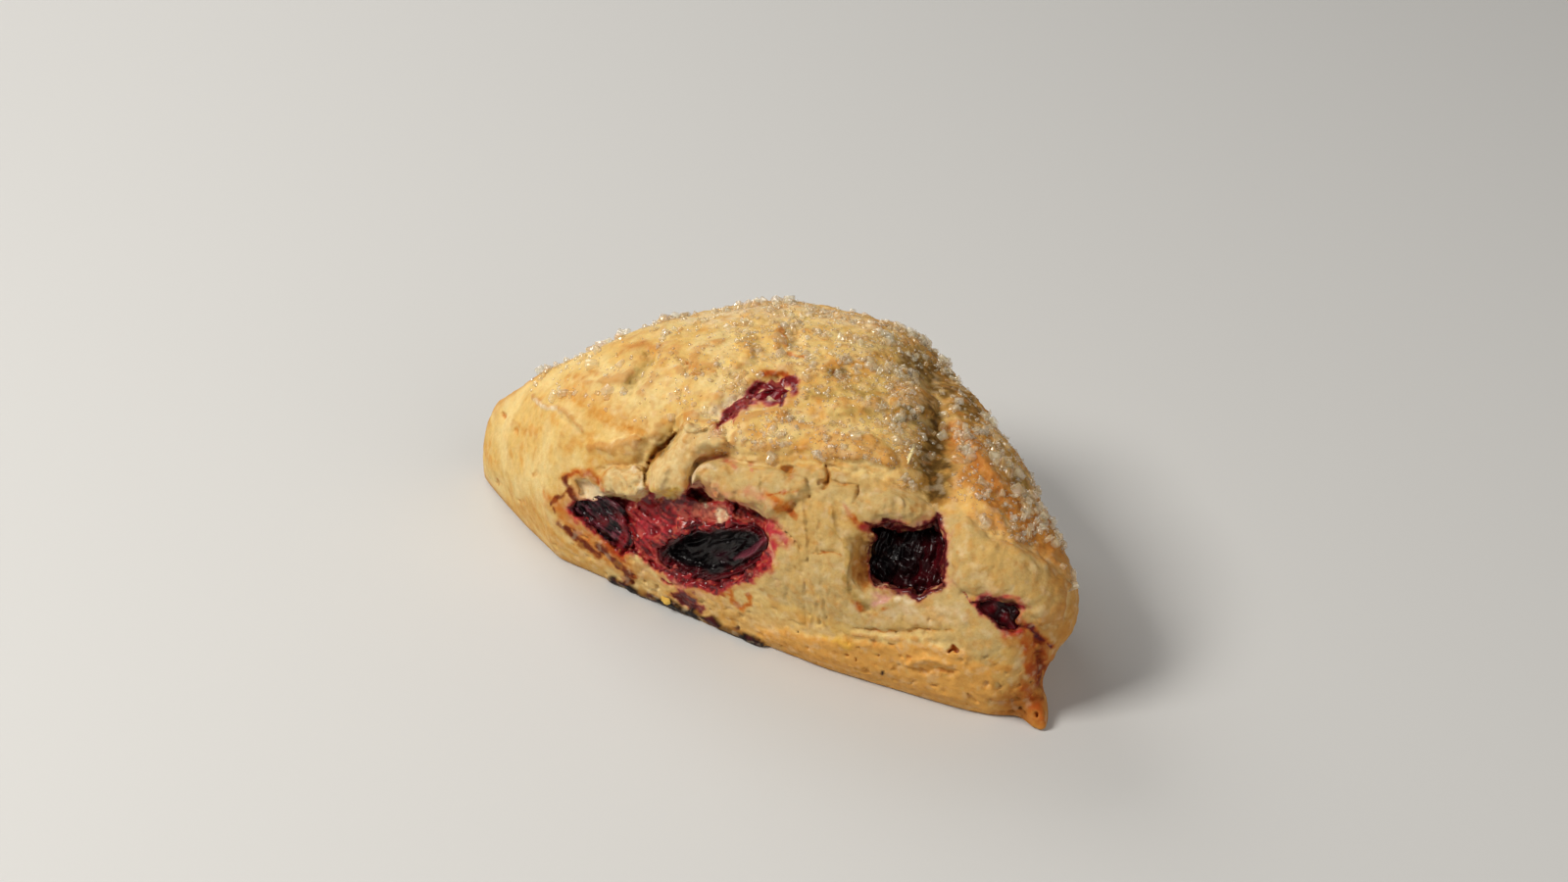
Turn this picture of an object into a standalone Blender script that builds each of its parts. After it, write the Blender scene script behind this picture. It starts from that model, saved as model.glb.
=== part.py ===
"""A triangular berry scone: metres, +Z up, origin at the middle of its flat base.

+X runs along the long front side to the sharp corner, and +Y to the blunt corner at the back.
The dough is one loaf with torn pockets, and each berry that shows sits in its own pocket.
Sizes and places are in millimetres up to the point where a mesh is made.
"""

import math
from collections import namedtuple

import bmesh
import bpy
import numpy as np
from mathutils import Euler, Vector, noise

MM = 0.001

# Driving sizes of the loaf.
CROWN_HEIGHT = 46.9
CROWN_PEAK = (4.0, 7.3)
CROWN_FALL = (0.0053, 0.0040, 0.0010)  # to the left, to the right, and to the front and back
SHOULDER = 14.0
GAP = 0.35

# Circles whose common outline is the plan of the loaf: x, y and radius.
LEFT_CORNER = (-61.6, -8.7, 6.9)
FRONT_BEND = (-33.3, -17.3, 11.5)
FRONT_BELLY = (25.0, -17.5, 13.3)
SHARP_CORNER = (55.2, -16.7, 10.6)
RIGHT_BELLY = (37.8, 0.1, 14.4)
BLUNT_CORNER = (8.7, 12.9, 18.6)
BACK_BELLY = (-13.8, 12.1, 17.2)
PLAN = (
    LEFT_CORNER,
    FRONT_BEND,
    FRONT_BELLY,
    SHARP_CORNER,
    RIGHT_BELLY,
    BLUNT_CORNER,
    BACK_BELLY,
)

# How far the foot of the wall stands in from its belly, and up to what height.
FOOT_TUCK = (2.7, 16.7)
CORNER_TUCK = (10.3, 18.9)
CORNER_TUCK_PLACE = (66.5, -13.8)
CORNER_TUCK_SPREAD = 8.6

# The foot runs out in a thin beak under the sharp corner: middle, half sizes and turn.
BEAK = ((56.9, -14.7, 0.0), (12.3, 3.1, 6.6), -45.0)

# A second, lower dome fills the sharp corner: middle, half sizes and turn.
LOBE = ((47.2, -6.1, 18.7), (16.7, 8.1, 13.8), -20.0)

# The crease between the dome and the lobe, as points of the plan.
CREASE = ((20.6, 14.3), (26.5, 5.1), (34.1, -4.1), (39.5, -12.2), (41.7, -21.4))
CREASE_DEPTH = 3.2
CREASE_WIDTH = 6.1

# Broad unevenness of the crust.
LUMP_HEIGHT = 1.1
LUMP_SIZE = 13.0

# The mesh of the loaf: columns round it, and rows from the foot to the crown.
COLUMNS = 92
ROWS = 21
HEART = np.array([4.2, -4.7, 0.0])

# A rounded body: its middle, its half sizes, its turn about X, Y and Z in degrees, and how square
# it is (2 is a ball and more is boxier).
Blob = namedtuple("Blob", "middle half turn square", defaults=(2.0,))

# Folds of dough that stand proud of the loaf.
FOLDS = {
    "flap": Blob((-8.6, -25.6, 32.0), (3.2, 3.0, 6.4), (-22, 8, 0)),
    "knob": Blob((-18.2, -27.0, 25.6), (3.9, 2.8, 3.0), (0, -8, 10)),
    "ledge": Blob((5.0, -27.0, 31.4), (10.6, 3.2, 2.7), (0, -4, 0)),
}

# Tears in the crust in which the berries show.
TEARS = {
    "tear_left": Blob((-22.5, -29.6, 14.6), (10.6, 5.0, 5.4), (0, 16, 0)),
    "tear_centre": Blob((2.0, -30.4, 20.0), (15.0, 7.4, 8.8), (0, -27, 0)),
    "tear_right": Blob((37.6, -26.6, 26.8), (6.9, 6.4, 6.3), (0, -4, 12), 3.0),
    "tear_corner": Blob((56.6, -24.0, 21.8), (5.4, 2.4, 2.6), (0, 24, 20)),
    "tear_top": Blob((2.8, -17.4, 44.4), (7.8, 2.8, 3.4), (0, -20, 50)),
    "tear_crack": Blob((-11.9, -26.4, 33.4), (0.8, 2.2, 6.4), (-25, 25, 0)),
    "pit_top": Blob((12.2, -4.5, 46.6), (3.0, 2.1, 2.2), (0, 0, -20)),
}

BERRIES = {
    "berry_left": Blob((-25.4, -24.9, 12.4), (7.4, 4.4, 4.8), (0, 33, 0)),
    "berry_centre": Blob((-1.2, -24.4, 14.6), (12.2, 6.3, 6.4), (0, -30, 8)),
    "berry_right": Blob((37.0, -19.6, 25.2), (8.2, 5.6, 7.8), (0, 0, 12), 2.6),
    "berry_corner": Blob((55.4, -21.8, 20.6), (4.8, 2.8, 2.8), (0, 24, 20)),
    "berry_top": Blob((3.0, -15.6, 40.6), (6.6, 3.0, 3.0), (0, -20, 50)),
}
BALL_RINGS = 10
BALL_SEGMENTS = 18
BALL_LUMP = 0.10


def plan_distance(x, y):
    """How far a point is outside the plan, and below zero inside it."""
    angles = np.radians(np.arange(0, 360, 3))
    normals = np.stack([np.cos(angles), np.sin(angles)])
    circles = np.array(PLAN)
    reach = (circles[:, :2] @ normals + circles[:, 2:]).max(axis=0)
    return (np.stack([x, y], axis=-1) @ normals - reach).max(axis=-1)


def path_distance(x, y, path):
    """Distance in the plan from the nearest point of a path."""
    nearest = np.full(np.shape(x), np.inf)
    for (x0, y0), (x1, y1) in zip(path, path[1:]):
        run, rise = x1 - x0, y1 - y0
        share = ((x - x0) * run + (y - y0) * rise) / (run**2 + rise**2)
        share = np.clip(share, 0, 1)
        nearest = np.minimum(nearest, np.hypot(x - x0 - share * run, y - y0 - share * rise))
    return nearest


def smooth_max(a, b, blend):
    """The larger of two distances, with the edge between them rounded over."""
    overlap = np.clip(blend - np.abs(a - b), 0, None) / blend
    return np.maximum(a, b) + overlap**2 * blend / 4


def crown(x, y):
    """Height of the top crust above a point of the plan, with its crease."""
    left, right, side = CROWN_FALL
    along, across = x - CROWN_PEAK[0], y - CROWN_PEAK[1]
    dome = CROWN_HEIGHT - np.where(along < 0, left, right) * along**2 - side * across**2
    crease = CREASE_DEPTH * np.exp(-((path_distance(x, y, CREASE) / CREASE_WIDTH) ** 2))
    return dome - crease


def tuck(x, y, z):
    """How far the wall stands in from the plan near its foot."""
    depth, height = FOOT_TUCK
    corner_depth, corner_height = CORNER_TUCK
    away = np.hypot(x - CORNER_TUCK_PLACE[0], y - CORNER_TUCK_PLACE[1])
    share = np.exp(-((away / CORNER_TUCK_SPREAD) ** 2))
    rise = np.clip(1 - z / height, 0, None) ** 2
    corner_rise = np.clip(1 - z / corner_height, 0, 1) ** 1.5
    return depth * rise + corner_depth * share * corner_rise


def body_distance(x, y, z, body):
    """Roughly how far a point is outside a rounded body that is turned about Z."""
    middle, half, turn = body
    cosine, sine = math.cos(math.radians(turn)), math.sin(math.radians(turn))
    along = (x - middle[0]) * cosine + (y - middle[1]) * sine
    across = (y - middle[1]) * cosine - (x - middle[0]) * sine
    lift = z - middle[2]
    scaled = np.sqrt((along / half[0]) ** 2 + (across / half[1]) ** 2 + (lift / half[2]) ** 2)
    return (scaled - 1) * half[1]


def outside(points):
    """Roughly how far a point is outside the crust."""
    x, y, z = points[..., 0], points[..., 1], points[..., 2]
    wall = plan_distance(x, y) + tuck(x, y, z)
    loaf = smooth_max(wall, z - crown(x, y), 2 * SHOULDER)
    loaf = -smooth_max(-loaf, -body_distance(x, y, z, BEAK), 4.0)
    return -smooth_max(-loaf, -body_distance(x, y, z, LOBE), 5.0)


def crust_reach(directions):
    """Distance from the heart to the crust along each direction, by bisection."""
    near = np.zeros(directions.shape[:-1])
    far = np.full(directions.shape[:-1], 100.0)
    for _ in range(24):
        middle = (near + far) / 2
        beyond = outside(HEART + directions * middle[..., None]) > 0
        far = np.where(beyond, middle, far)
        near = np.where(beyond, near, middle)
    return near


def lumpy(point, seed):
    """Broad unevenness of the crust at a point, fading to nothing at the foot."""
    rough = noise.noise(Vector(point) / LUMP_SIZE + Vector((seed, 0, 0)))
    return LUMP_HEIGHT * rough * min(1.0, point[2] / LUMP_SIZE)


def meridian(angle):
    """Points up the loaf's side at one angle round the heart, evenly spaced from foot to crown."""
    lift = np.radians(np.linspace(0, 90, 200))
    flat = np.cos(lift)
    directions = np.stack([flat * math.cos(angle), flat * math.sin(angle), np.sin(lift)], axis=-1)
    points = HEART + directions * crust_reach(directions)[:, None]
    steps = np.linalg.norm(np.diff(points, axis=0), axis=1)
    along = np.concatenate([[0], np.cumsum(steps)])
    stops = np.linspace(0, along[-1], ROWS + 1)
    spaced = np.stack([np.interp(stops, along, points[:, axis]) for axis in range(3)], axis=-1)
    outward = spaced - HEART
    outward /= np.linalg.norm(outward, axis=1)[:, None]
    swell = np.array([lumpy(p, 4.0) for p in spaced])
    return spaced + outward * swell[:, None]


def loaf_mesh():
    """The loaf as a loft of rows from the foot to the crown, closed by a flat base."""
    shape = bmesh.new()
    columns = []
    for column in range(COLUMNS):
        points = meridian(2 * math.pi * column / COLUMNS)
        columns.append([shape.verts.new(Vector(p) * MM) for p in points[:-1]])
    top = shape.verts.new(Vector(meridian(0)[-1]) * MM)
    for here, after in zip(columns, columns[1:] + columns[:1]):
        for low in range(ROWS - 1):
            shape.faces.new([here[low], after[low], after[low + 1], here[low + 1]])
        shape.faces.new([here[-1], after[-1], top])
    shape.faces.new([column[0] for column in reversed(columns)])
    mesh = bpy.data.meshes.new("dough")
    shape.to_mesh(mesh)
    shape.free()
    return mesh


def blob_mesh(name, blob, grow=0.0, lump=0.0):
    """A ball stretched to the blob's half sizes, made uneven by a share of its radius."""
    shape = bmesh.new()
    bmesh.ops.create_uvsphere(
        shape, u_segments=BALL_SEGMENTS, v_segments=BALL_RINGS, radius=1.0
    )
    half = Vector(blob.half) + Vector((grow, grow, grow))
    for vertex in shape.verts:
        place = vertex.co.copy()
        size = sum(abs(a) ** blob.square for a in place) ** (1 / blob.square)
        swell = (1 + lump * noise.noise(place * 1.9 + Vector(blob.middle))) / size
        vertex.co = Vector(a * b for a, b in zip(place, half)) * swell * MM
    mesh = bpy.data.meshes.new(name)
    shape.to_mesh(mesh)
    shape.free()
    return mesh


def add_blob(name, blob, collection, grow=0.0, lump=0.0):
    """The blob as an object at its place and turn."""
    body = bpy.data.objects.new(name, blob_mesh(name, blob, grow, lump))
    body.location = Vector(blob.middle) * MM
    body.rotation_euler = Euler([math.radians(a) for a in blob.turn])
    collection.objects.link(body)
    return body


def boolean(target, operation, other):
    """Joins another object to the target, or cuts it away, and keeps the other out of the render."""
    other.hide_render = True
    other.display_type = "WIRE"
    modifier = target.modifiers.new(f"{operation.lower()}_{other.name}", "BOOLEAN")
    modifier.operation = operation
    modifier.object = other


def baked_material(name, colour, roughness):
    """A plain food surface of one colour."""
    material = bpy.data.materials.new(name)
    material.use_nodes = True
    shader = material.node_tree.nodes["Principled BSDF"]
    shader.inputs["Base Color"].default_value = (*colour, 1)
    shader.inputs["Roughness"].default_value = roughness
    shader.inputs["Metallic"].default_value = 0.0
    return material


def new_collection(name):
    collection = bpy.data.collections.new(name)
    bpy.context.scene.collection.children.link(collection)
    return collection


def clear_scene():
    for thing in list(bpy.data.objects):
        bpy.data.objects.remove(thing)


def main():
    clear_scene()
    parts = new_collection("scone")
    cutters = new_collection("cutters")
    dough = bpy.data.objects.new("dough", loaf_mesh())
    dough.data.materials.append(baked_material("crust", (0.63, 0.38, 0.13), 0.6))
    parts.objects.link(dough)
    for name, blob in FOLDS.items():
        boolean(dough, "UNION", add_blob(name, blob, cutters, lump=BALL_LUMP))
    for name, blob in TEARS.items():
        boolean(dough, "DIFFERENCE", add_blob(name, blob, cutters, lump=BALL_LUMP))
    fruit = baked_material("fruit", (0.05, 0.006, 0.01), 0.3)
    for name, blob in BERRIES.items():
        berry = add_blob(name, blob, parts, lump=BALL_LUMP)
        berry.data.materials.append(fruit)
        socket = add_blob(f"socket_{name}", blob, cutters, grow=GAP, lump=BALL_LUMP)
        boolean(dough, "DIFFERENCE", socket)
    for part in parts.objects:
        part.data.shade_smooth()


main()
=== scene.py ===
"""Looks of the triangular berry scone, built round the CAD frame.

The dough is sculpted as signed distances on a grid and meshed once, then painted point by point.
Sculpting is in millimetres in the row frame: +X along the front side to the sharp corner, +Z up.
Lines and outlines on the crust are named as pixels of the 1600 x 900 photograph. They are cast on
the loaf along the camera's rays, so what they shape stays on the dough when seen from any side.
"""

import itertools
import math

import bmesh
import bpy
import numpy as np
import openvdb
from mathutils import Matrix, Vector

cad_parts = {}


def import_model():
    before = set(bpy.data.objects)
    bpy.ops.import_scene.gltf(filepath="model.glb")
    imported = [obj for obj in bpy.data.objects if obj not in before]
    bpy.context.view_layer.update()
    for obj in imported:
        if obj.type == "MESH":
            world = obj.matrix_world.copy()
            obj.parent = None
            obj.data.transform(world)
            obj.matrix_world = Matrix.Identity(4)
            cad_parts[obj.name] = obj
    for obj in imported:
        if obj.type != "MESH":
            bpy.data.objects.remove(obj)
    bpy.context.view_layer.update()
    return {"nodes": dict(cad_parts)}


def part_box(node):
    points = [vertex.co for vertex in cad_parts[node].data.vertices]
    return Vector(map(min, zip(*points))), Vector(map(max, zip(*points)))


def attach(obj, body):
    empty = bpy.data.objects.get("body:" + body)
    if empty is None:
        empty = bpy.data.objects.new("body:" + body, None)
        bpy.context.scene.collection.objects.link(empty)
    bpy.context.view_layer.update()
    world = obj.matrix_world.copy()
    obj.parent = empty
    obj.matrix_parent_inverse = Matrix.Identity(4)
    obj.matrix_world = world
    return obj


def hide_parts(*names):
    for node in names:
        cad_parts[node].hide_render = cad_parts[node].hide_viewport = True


MM = 0.001

# The camera: view direction in degrees, lens and distance in millimetres, and what it aims at.
AZIMUTH = 32.0
ELEVATION = 33.0
LENS = 60.0
SENSOR = 36.0
DISTANCE = 465.0
AIM = np.array([7.25, -14.22, 35.0])
PHOTO_WIDTH, PHOTO_HEIGHT = 1600, 900
PIXELS_A_MM = 5.7

# Spacing of the sculpting grid, its margin round the CAD's box, how near the surface its points
# are worked on, and how deep the holes are dug.
STEP = 0.34
GRID_MARGIN = 3.0
REACH = 3.6
HOLE_REACH = 10.0

# ----------------------------------------
# The plain loaf, with the same driving sizes as the CAD's
# ----------------------------------------

CROWN_HEIGHT = 46.9
CROWN_PEAK = (4.0, 7.3)
CROWN_FALL = (0.0053, 0.0040, 0.0010)
SHOULDER = 14.0
PLAN = (
    (-61.6, -8.7, 6.9),
    (-33.3, -17.3, 11.5),
    (25.0, -17.5, 13.3),
    (55.2, -16.7, 10.6),
    (37.8, 0.1, 14.4),
    (8.7, 12.9, 18.6),
    (-13.8, 12.1, 17.2),
)
FOOT_TUCK = (2.7, 16.7)
CORNER_TUCK = (10.3, 18.9)
CORNER_TUCK_PLACE = (66.5, -13.8)
CORNER_TUCK_SPREAD = 8.6
BEAK = ((56.9, -14.7, 0.0), (12.3, 3.1, 6.6), -45.0)
LOBE = ((47.2, -6.1, 18.7), (16.7, 8.1, 13.8), -20.0)
CREASE = ((20.6, 14.3), (26.5, 5.1), (34.1, -4.1), (39.5, -12.2), (41.7, -21.4))
CREASE_DEPTH = 3.2
CREASE_WIDTH = 6.1


def smooth_max(a, b, blend):
    """The larger of two distances, with the edge between them rounded over."""
    overlap = np.clip(blend - np.abs(a - b), 0, None) / blend
    return np.maximum(a, b) + overlap**2 * blend / 4


def smooth_min(a, b, blend):
    """The smaller of two distances, with the seam between them filled."""
    return -smooth_max(-a, -b, blend)


def smoothstep(low, high, value):
    """A gentle rise from 0 to 1 between two values, or a fall where the first is larger."""
    share = np.clip((value - low) / (high - low), 0, 1)
    return share * share * (3 - 2 * share)


def plan_distance(x, y):
    """How far a point is outside the plan, and below zero inside it."""
    angles = np.radians(np.arange(0, 360, 3))
    circles = np.array(PLAN)
    farthest = None
    for cosine, sine in zip(np.cos(angles), np.sin(angles)):
        reach = (circles[:, 0] * cosine + circles[:, 1] * sine + circles[:, 2]).max()
        beyond = x * cosine + y * sine - reach
        farthest = beyond if farthest is None else np.maximum(farthest, beyond)
    return farthest


def line_distance(spots, path, widths=0.0):
    """Distance in the plane from a line, less its width, which may change along the line."""
    widths = np.broadcast_to(widths, len(path)).astype(float)
    path = np.array(path, float)
    nearest = np.full(spots.shape[:-1], np.inf)
    for start, end, wide, narrow in zip(path, path[1:], widths, widths[1:]):
        run = end - start
        share = np.clip((spots - start) @ run / max(run @ run, 1e-9), 0, 1)
        gap = np.hypot(*np.moveaxis(spots - start - share[..., None] * run, -1, 0))
        nearest = np.minimum(nearest, gap - wide - (narrow - wide) * share)
    return nearest


def crown(x, y):
    """Height of the top crust above a point of the plan, with its crease."""
    left, right, side = CROWN_FALL
    along, across = x - CROWN_PEAK[0], y - CROWN_PEAK[1]
    dome = CROWN_HEIGHT - np.where(along < 0, left, right) * along**2 - side * across**2
    spots = np.stack(np.broadcast_arrays(x, y), axis=-1)
    crease = np.exp(-((line_distance(spots, CREASE) / CREASE_WIDTH) ** 2))
    return dome - CREASE_DEPTH * crease


def tuck(x, y, z):
    """How far the wall stands in from the plan near its foot."""
    depth, height = FOOT_TUCK
    corner_depth, corner_height = CORNER_TUCK
    away = np.hypot(x - CORNER_TUCK_PLACE[0], y - CORNER_TUCK_PLACE[1])
    share = np.exp(-((away / CORNER_TUCK_SPREAD) ** 2))
    rise = np.clip(1 - z / height, 0, None) ** 2
    corner_rise = np.clip(1 - z / corner_height, 0, 1) ** 1.5
    return depth * rise + corner_depth * share * corner_rise


def body_distance(x, y, z, body):
    """Roughly how far a point is outside a rounded body that is turned about Z."""
    middle, half, turn = body
    cosine, sine = math.cos(math.radians(turn)), math.sin(math.radians(turn))
    along = (x - middle[0]) * cosine + (y - middle[1]) * sine
    across = (y - middle[1]) * cosine - (x - middle[0]) * sine
    lift = z - middle[2]
    scaled = np.sqrt((along / half[0]) ** 2 + (across / half[1]) ** 2 + (lift / half[2]) ** 2)
    return (scaled - 1) * half[1]


def loaf_distance(x, y, z):
    """Roughly how far a point is outside the plain loaf."""
    wall = plan_distance(x, y) + tuck(x, y, z)
    loaf = smooth_max(wall, z - crown(x, y), 2 * SHOULDER)
    loaf = smooth_min(loaf, body_distance(x, y, z, BEAK), 4.0)
    loaf = smooth_min(loaf, body_distance(x, y, z, LOBE), 5.0)
    return smooth_max(loaf, -z, 0.8)


def loaf_at(points):
    """Roughly how far points are outside the plain loaf, with each point a row."""
    return loaf_distance(*np.moveaxis(points, -1, 0))


def top_share(points):
    """How far up on the sugared top points are, from 0 on the sides to 1."""
    return smoothstep(26, 38, points[:, 2] + 0.12 * points[:, 0])


def cheek_share(points):
    """How far points are on the smooth left cheek, from 0 to 1."""
    return 1 - smoothstep(-44, -30, points[:, 0] - 0.4 * points[:, 2])


# ----------------------------------------
# Noise
# ----------------------------------------

SHUFFLE = np.random.default_rng(7).permutation(256).astype(np.int32)
SHUFFLE = np.concatenate([SHUFFLE, SHUFFLE])
SLOPES = np.array(
    [s for s in itertools.product((-1, 0, 1), repeat=3) if abs(s[0]) + abs(s[1]) + abs(s[2]) == 2]
    + [(1, 1, 0), (-1, 1, 0), (0, -1, 1), (0, -1, -1)],
    np.float32,
)


def noise(points, size, seed):
    """Smooth random values from about -1 to 1, with features of the given size."""
    place = np.asarray(points, np.float32) / np.float32(size) + np.float32(17.31 * seed)
    cell = np.floor(place)
    inner = place - cell
    cell = cell.astype(np.int32) & 255
    ease = inner**3 * (inner * (inner * 6 - 15) + 10)
    total = np.zeros(place.shape[:-1], np.float32)
    for corner in itertools.product((0, 1), repeat=3):
        key = SHUFFLE[(cell[..., 0] + corner[0]) & 255]
        key = SHUFFLE[key + ((cell[..., 1] + corner[1]) & 255)]
        key = SHUFFLE[key + ((cell[..., 2] + corner[2]) & 255)] & 15
        weight = np.ones_like(total)
        value = np.zeros_like(total)
        for axis in range(3):
            share = ease[..., axis]
            weight *= share if corner[axis] else 1 - share
            value += SLOPES[key, axis] * (inner[..., axis] - corner[axis])
        total += weight * value
    return total


def noise_pair(points, size, seed):
    """Two independent noises, to shift pixels with."""
    return np.stack([noise(points, size, seed), noise(points, size, seed + 1)], axis=-1)


def noise_sum(points, layers):
    """Noises added up, each given as its strength, size and seed."""
    return sum(strength * noise(points, size, seed) for strength, size, seed in layers)


def rough_noise(points, size, seed, gain=0.5):
    """Noise summed over three finer and finer sizes."""
    layers = [(gain**octave, size / 2**octave, seed + octave) for octave in range(3)]
    return noise_sum(points, layers)


def streaks(spots, across, along, angle, seed):
    """Noise drawn out along a direction of the photograph, sizes in pixels."""
    cosine, sine = math.cos(math.radians(angle)), math.sin(math.radians(angle))
    length = (spots[..., 0] * cosine + spots[..., 1] * sine) / along
    width = (spots[..., 1] * cosine - spots[..., 0] * sine) / across
    return noise(np.stack([length, width, np.zeros_like(width)], axis=-1), 1.0, seed)


# ----------------------------------------
# The photograph's view
# ----------------------------------------


def direction(azimuth, elevation):
    """The unit direction out to an azimuth and elevation, in degrees, from the front side."""
    azimuth, elevation = math.radians(azimuth), math.radians(elevation)
    level = math.cos(elevation)
    return np.array([math.sin(azimuth) * level, -math.cos(azimuth) * level, math.sin(elevation)])


def view_axes():
    """The camera's place, and its right, up and forward directions, in millimetres."""
    back = direction(AZIMUTH, ELEVATION)
    azimuth = math.radians(AZIMUTH)
    right = np.array([math.cos(azimuth), math.sin(azimuth), 0.0])
    return AIM + back * DISTANCE, right, np.cross(back, right), -back


FOCAL = PHOTO_WIDTH * LENS / SENSOR

# The stretch of a camera ray that is searched for the crust, and the number of its steps.
RAY_SEARCH = (DISTANCE - 90, DISTANCE + 110, 1600)

# How the edges of marks wander: shift in pixels, size in millimetres and seed.
WANDER = ((5, 6, 81), (2.6, 1.9, 85))


def pixels_of(points):
    """Where points show in the photograph."""
    place, right, up, forward = view_axes()
    away = points - place
    depth = away @ forward
    across = PHOTO_WIDTH / 2 + FOCAL * (away @ right) / depth
    down = PHOTO_HEIGHT / 2 - FOCAL * (away @ up) / depth
    return np.stack([across, down], axis=-1)


def wandering_pixels(points):
    """Where points show in the photograph, shifted a little so that drawn edges wander."""
    spots = pixels_of(points)
    for shift, size, seed in WANDER:
        spots = spots + shift * noise_pair(points, size, seed)
    return spots


def on_crust(clay, pixel):
    """The point of the sculpted dough that shows at a pixel."""
    place, right, up, forward = view_axes()
    across = (pixel[0] - PHOTO_WIDTH / 2) / FOCAL
    rise = (PHOTO_HEIGHT / 2 - pixel[1]) / FOCAL
    way = forward + right * across + up * rise
    way /= np.linalg.norm(way)
    travel = np.linspace(*RAY_SEARCH)
    reading = clay.read(clay.distance, place + way * travel[:, None])
    first = int(np.argmax(reading < 0)) if (reading < 0).any() else int(np.argmin(reading))
    return place + way * travel[first]


def outline_distance(spots, corners):
    """Distance in the plane from a closed outline, below zero inside it."""
    corners = np.array(corners, float)
    closed = np.concatenate([corners, corners[:1]])
    inside = np.zeros(spots.shape[:-1], bool)
    across, down = spots[..., 0], spots[..., 1]
    for (ax, ay), (bx, by) in zip(closed, closed[1:]):
        if ay != by:
            side = across < ax + (down - ay) * (bx - ax) / (by - ay)
            inside ^= ((ay > down) != (by > down)) & side
    gap = line_distance(spots, closed)
    return np.where(inside, -gap, gap)


def mark_distance(spots, pixels, width):
    """Distance from a mark: a line with a width, or a closed outline where width is None."""
    if width is None:
        return outline_distance(spots, pixels)
    return line_distance(spots, pixels, width)


def spots_near(spots, pixels, reach):
    """The indices of the spots in the box round a mark, or within a reach of that box."""
    corners = np.array(pixels, float)
    low, high = corners.min(axis=0) - reach, corners.max(axis=0) + reach
    return np.nonzero(((spots > low) & (spots < high)).all(axis=-1))[0]


def marked(spots, pixels, width, soft, ragged=0.0, points=None, grain=2.4, seed=4, domed=False):
    """Which spots are near a mark, and how fully each is in it, from 0 at its edge to 1.

    Noise of the given grain makes the edge ragged. A domed mark is steep at its edge.
    """
    widest = 0 if width is None else np.max(width)
    near = spots_near(spots, pixels, widest + 2 * ragged + 1)
    gap = mark_distance(spots[near], pixels, width)
    if ragged:
        gap = gap + ragged * rough_noise(points[near], grain, seed)
    if domed:
        return near, np.sqrt(1 - (1 - np.clip(-gap / soft, 0, 1)) ** 2)
    return near, smoothstep(0, soft, -gap)


# ----------------------------------------
# Sculpting
# ----------------------------------------


class Clay:
    """The dough as signed distances on a grid, in millimetres and below zero inside."""

    def __init__(self, low, high, step):
        self.step = step
        self.axes = [np.arange(a, b + step, step) for a, b in zip(low, high)]
        x, y, z = np.meshgrid(*self.axes, indexing="ij", sparse=True)
        self.distance = loaf_distance(x, y, z).astype(np.float32)
        self.plain = self.distance.copy()
        slope = np.gradient(self.distance, step)
        back = -view_axes()[3]
        facing = sum(part * share for part, share in zip(slope, back))
        self.facing = smoothstep(-0.02, 0.22, facing).astype(np.float32)

    def near_surface(self, reach, depth=None, facing=-1.0):
        """The indices and places of the grid points near the surface, on either side of it."""
        low = -(reach if depth is None else depth)
        near = (self.distance < reach) & (self.distance > low) & (self.facing > facing)
        index = np.nonzero(near)
        places = [axis[i].astype(np.float32) for axis, i in zip(self.axes, index)]
        return index, np.stack(places, axis=-1)

    def blurred(self, reach):
        """The distances averaged over a cube of the given half size."""
        cells = max(1, int(round(reach / self.step)))
        field = self.distance.astype(float)
        for axis in range(3):
            field = np.cumsum(field, axis)
            ahead = np.roll(field, -cells, axis)
            behind = np.roll(field, cells + 1, axis)
            field = (ahead - behind) / (2 * cells + 1)
        return field

    def read(self, field, points):
        """Values of a grid at any points, by trilinear blending."""
        low = np.array([axis[0] for axis in self.axes])
        place = (points - low) / self.step
        limit = np.array(field.shape) - 2
        cell = np.clip(np.floor(place).astype(int), 0, limit)
        share = np.clip(place - cell, 0, 1)
        total = 0
        for corner in itertools.product((0, 1), repeat=3):
            weight = np.prod(np.where(corner, share, 1 - share), axis=-1)
            i, j, k = (cell + corner).T
            total = total + weight * field[i, j, k]
        return total

    def mesh(self):
        """The surface's points and four-sided faces."""
        grid = openvdb.FloatGrid(float(self.distance.max()))
        grid.copyFromArray(self.distance)
        points, quads = grid.convertToQuads(0.0)
        low = np.array([axis[0] for axis in self.axes])
        return points * self.step + low, quads[:, ::-1]


# Outlines and lines on the crust, in pixels.
FLAP = [(688, 436), (700, 428), (716, 434), (735, 437), (741, 452), (724, 464), (711, 472),
        (705, 484), (703, 500), (700, 520), (676, 521), (661, 513), (659, 498), (662, 484),
        (668, 470), (677, 458), (683, 447)]
KNOB = [(612, 486), (619, 479), (628, 475), (640, 477), (650, 474), (658, 478), (661, 487),
        (660, 500), (657, 518), (638, 522), (622, 516), (616, 508), (611, 496)]
LIP = [(704, 496), (705, 486), (711, 478), (724, 472), (745, 470), (775, 474), (800, 480),
       (822, 488), (826, 504), (806, 514), (796, 526), (778, 532), (750, 526), (722, 516),
       (708, 510)]
SHELF = [(580, 488), (594, 487), (608, 492), (616, 500), (622, 509), (600, 510), (588, 503)]
CAVITY = [(586, 512), (600, 509), (614, 507), (628, 509), (640, 509), (652, 511), (660, 501),
          (668, 506), (680, 509), (696, 508), (703, 502), (708, 498), (716, 496), (722, 504),
          (735, 509), (750, 512), (762, 517), (776, 521), (783, 530), (785, 545), (784, 560),
          (782, 572), (770, 582), (750, 590), (730, 596), (712, 595), (696, 590), (680, 582),
          (668, 574), (656, 566), (640, 563), (626, 556), (614, 547), (602, 534), (592, 525),
          (585, 518)]
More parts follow.
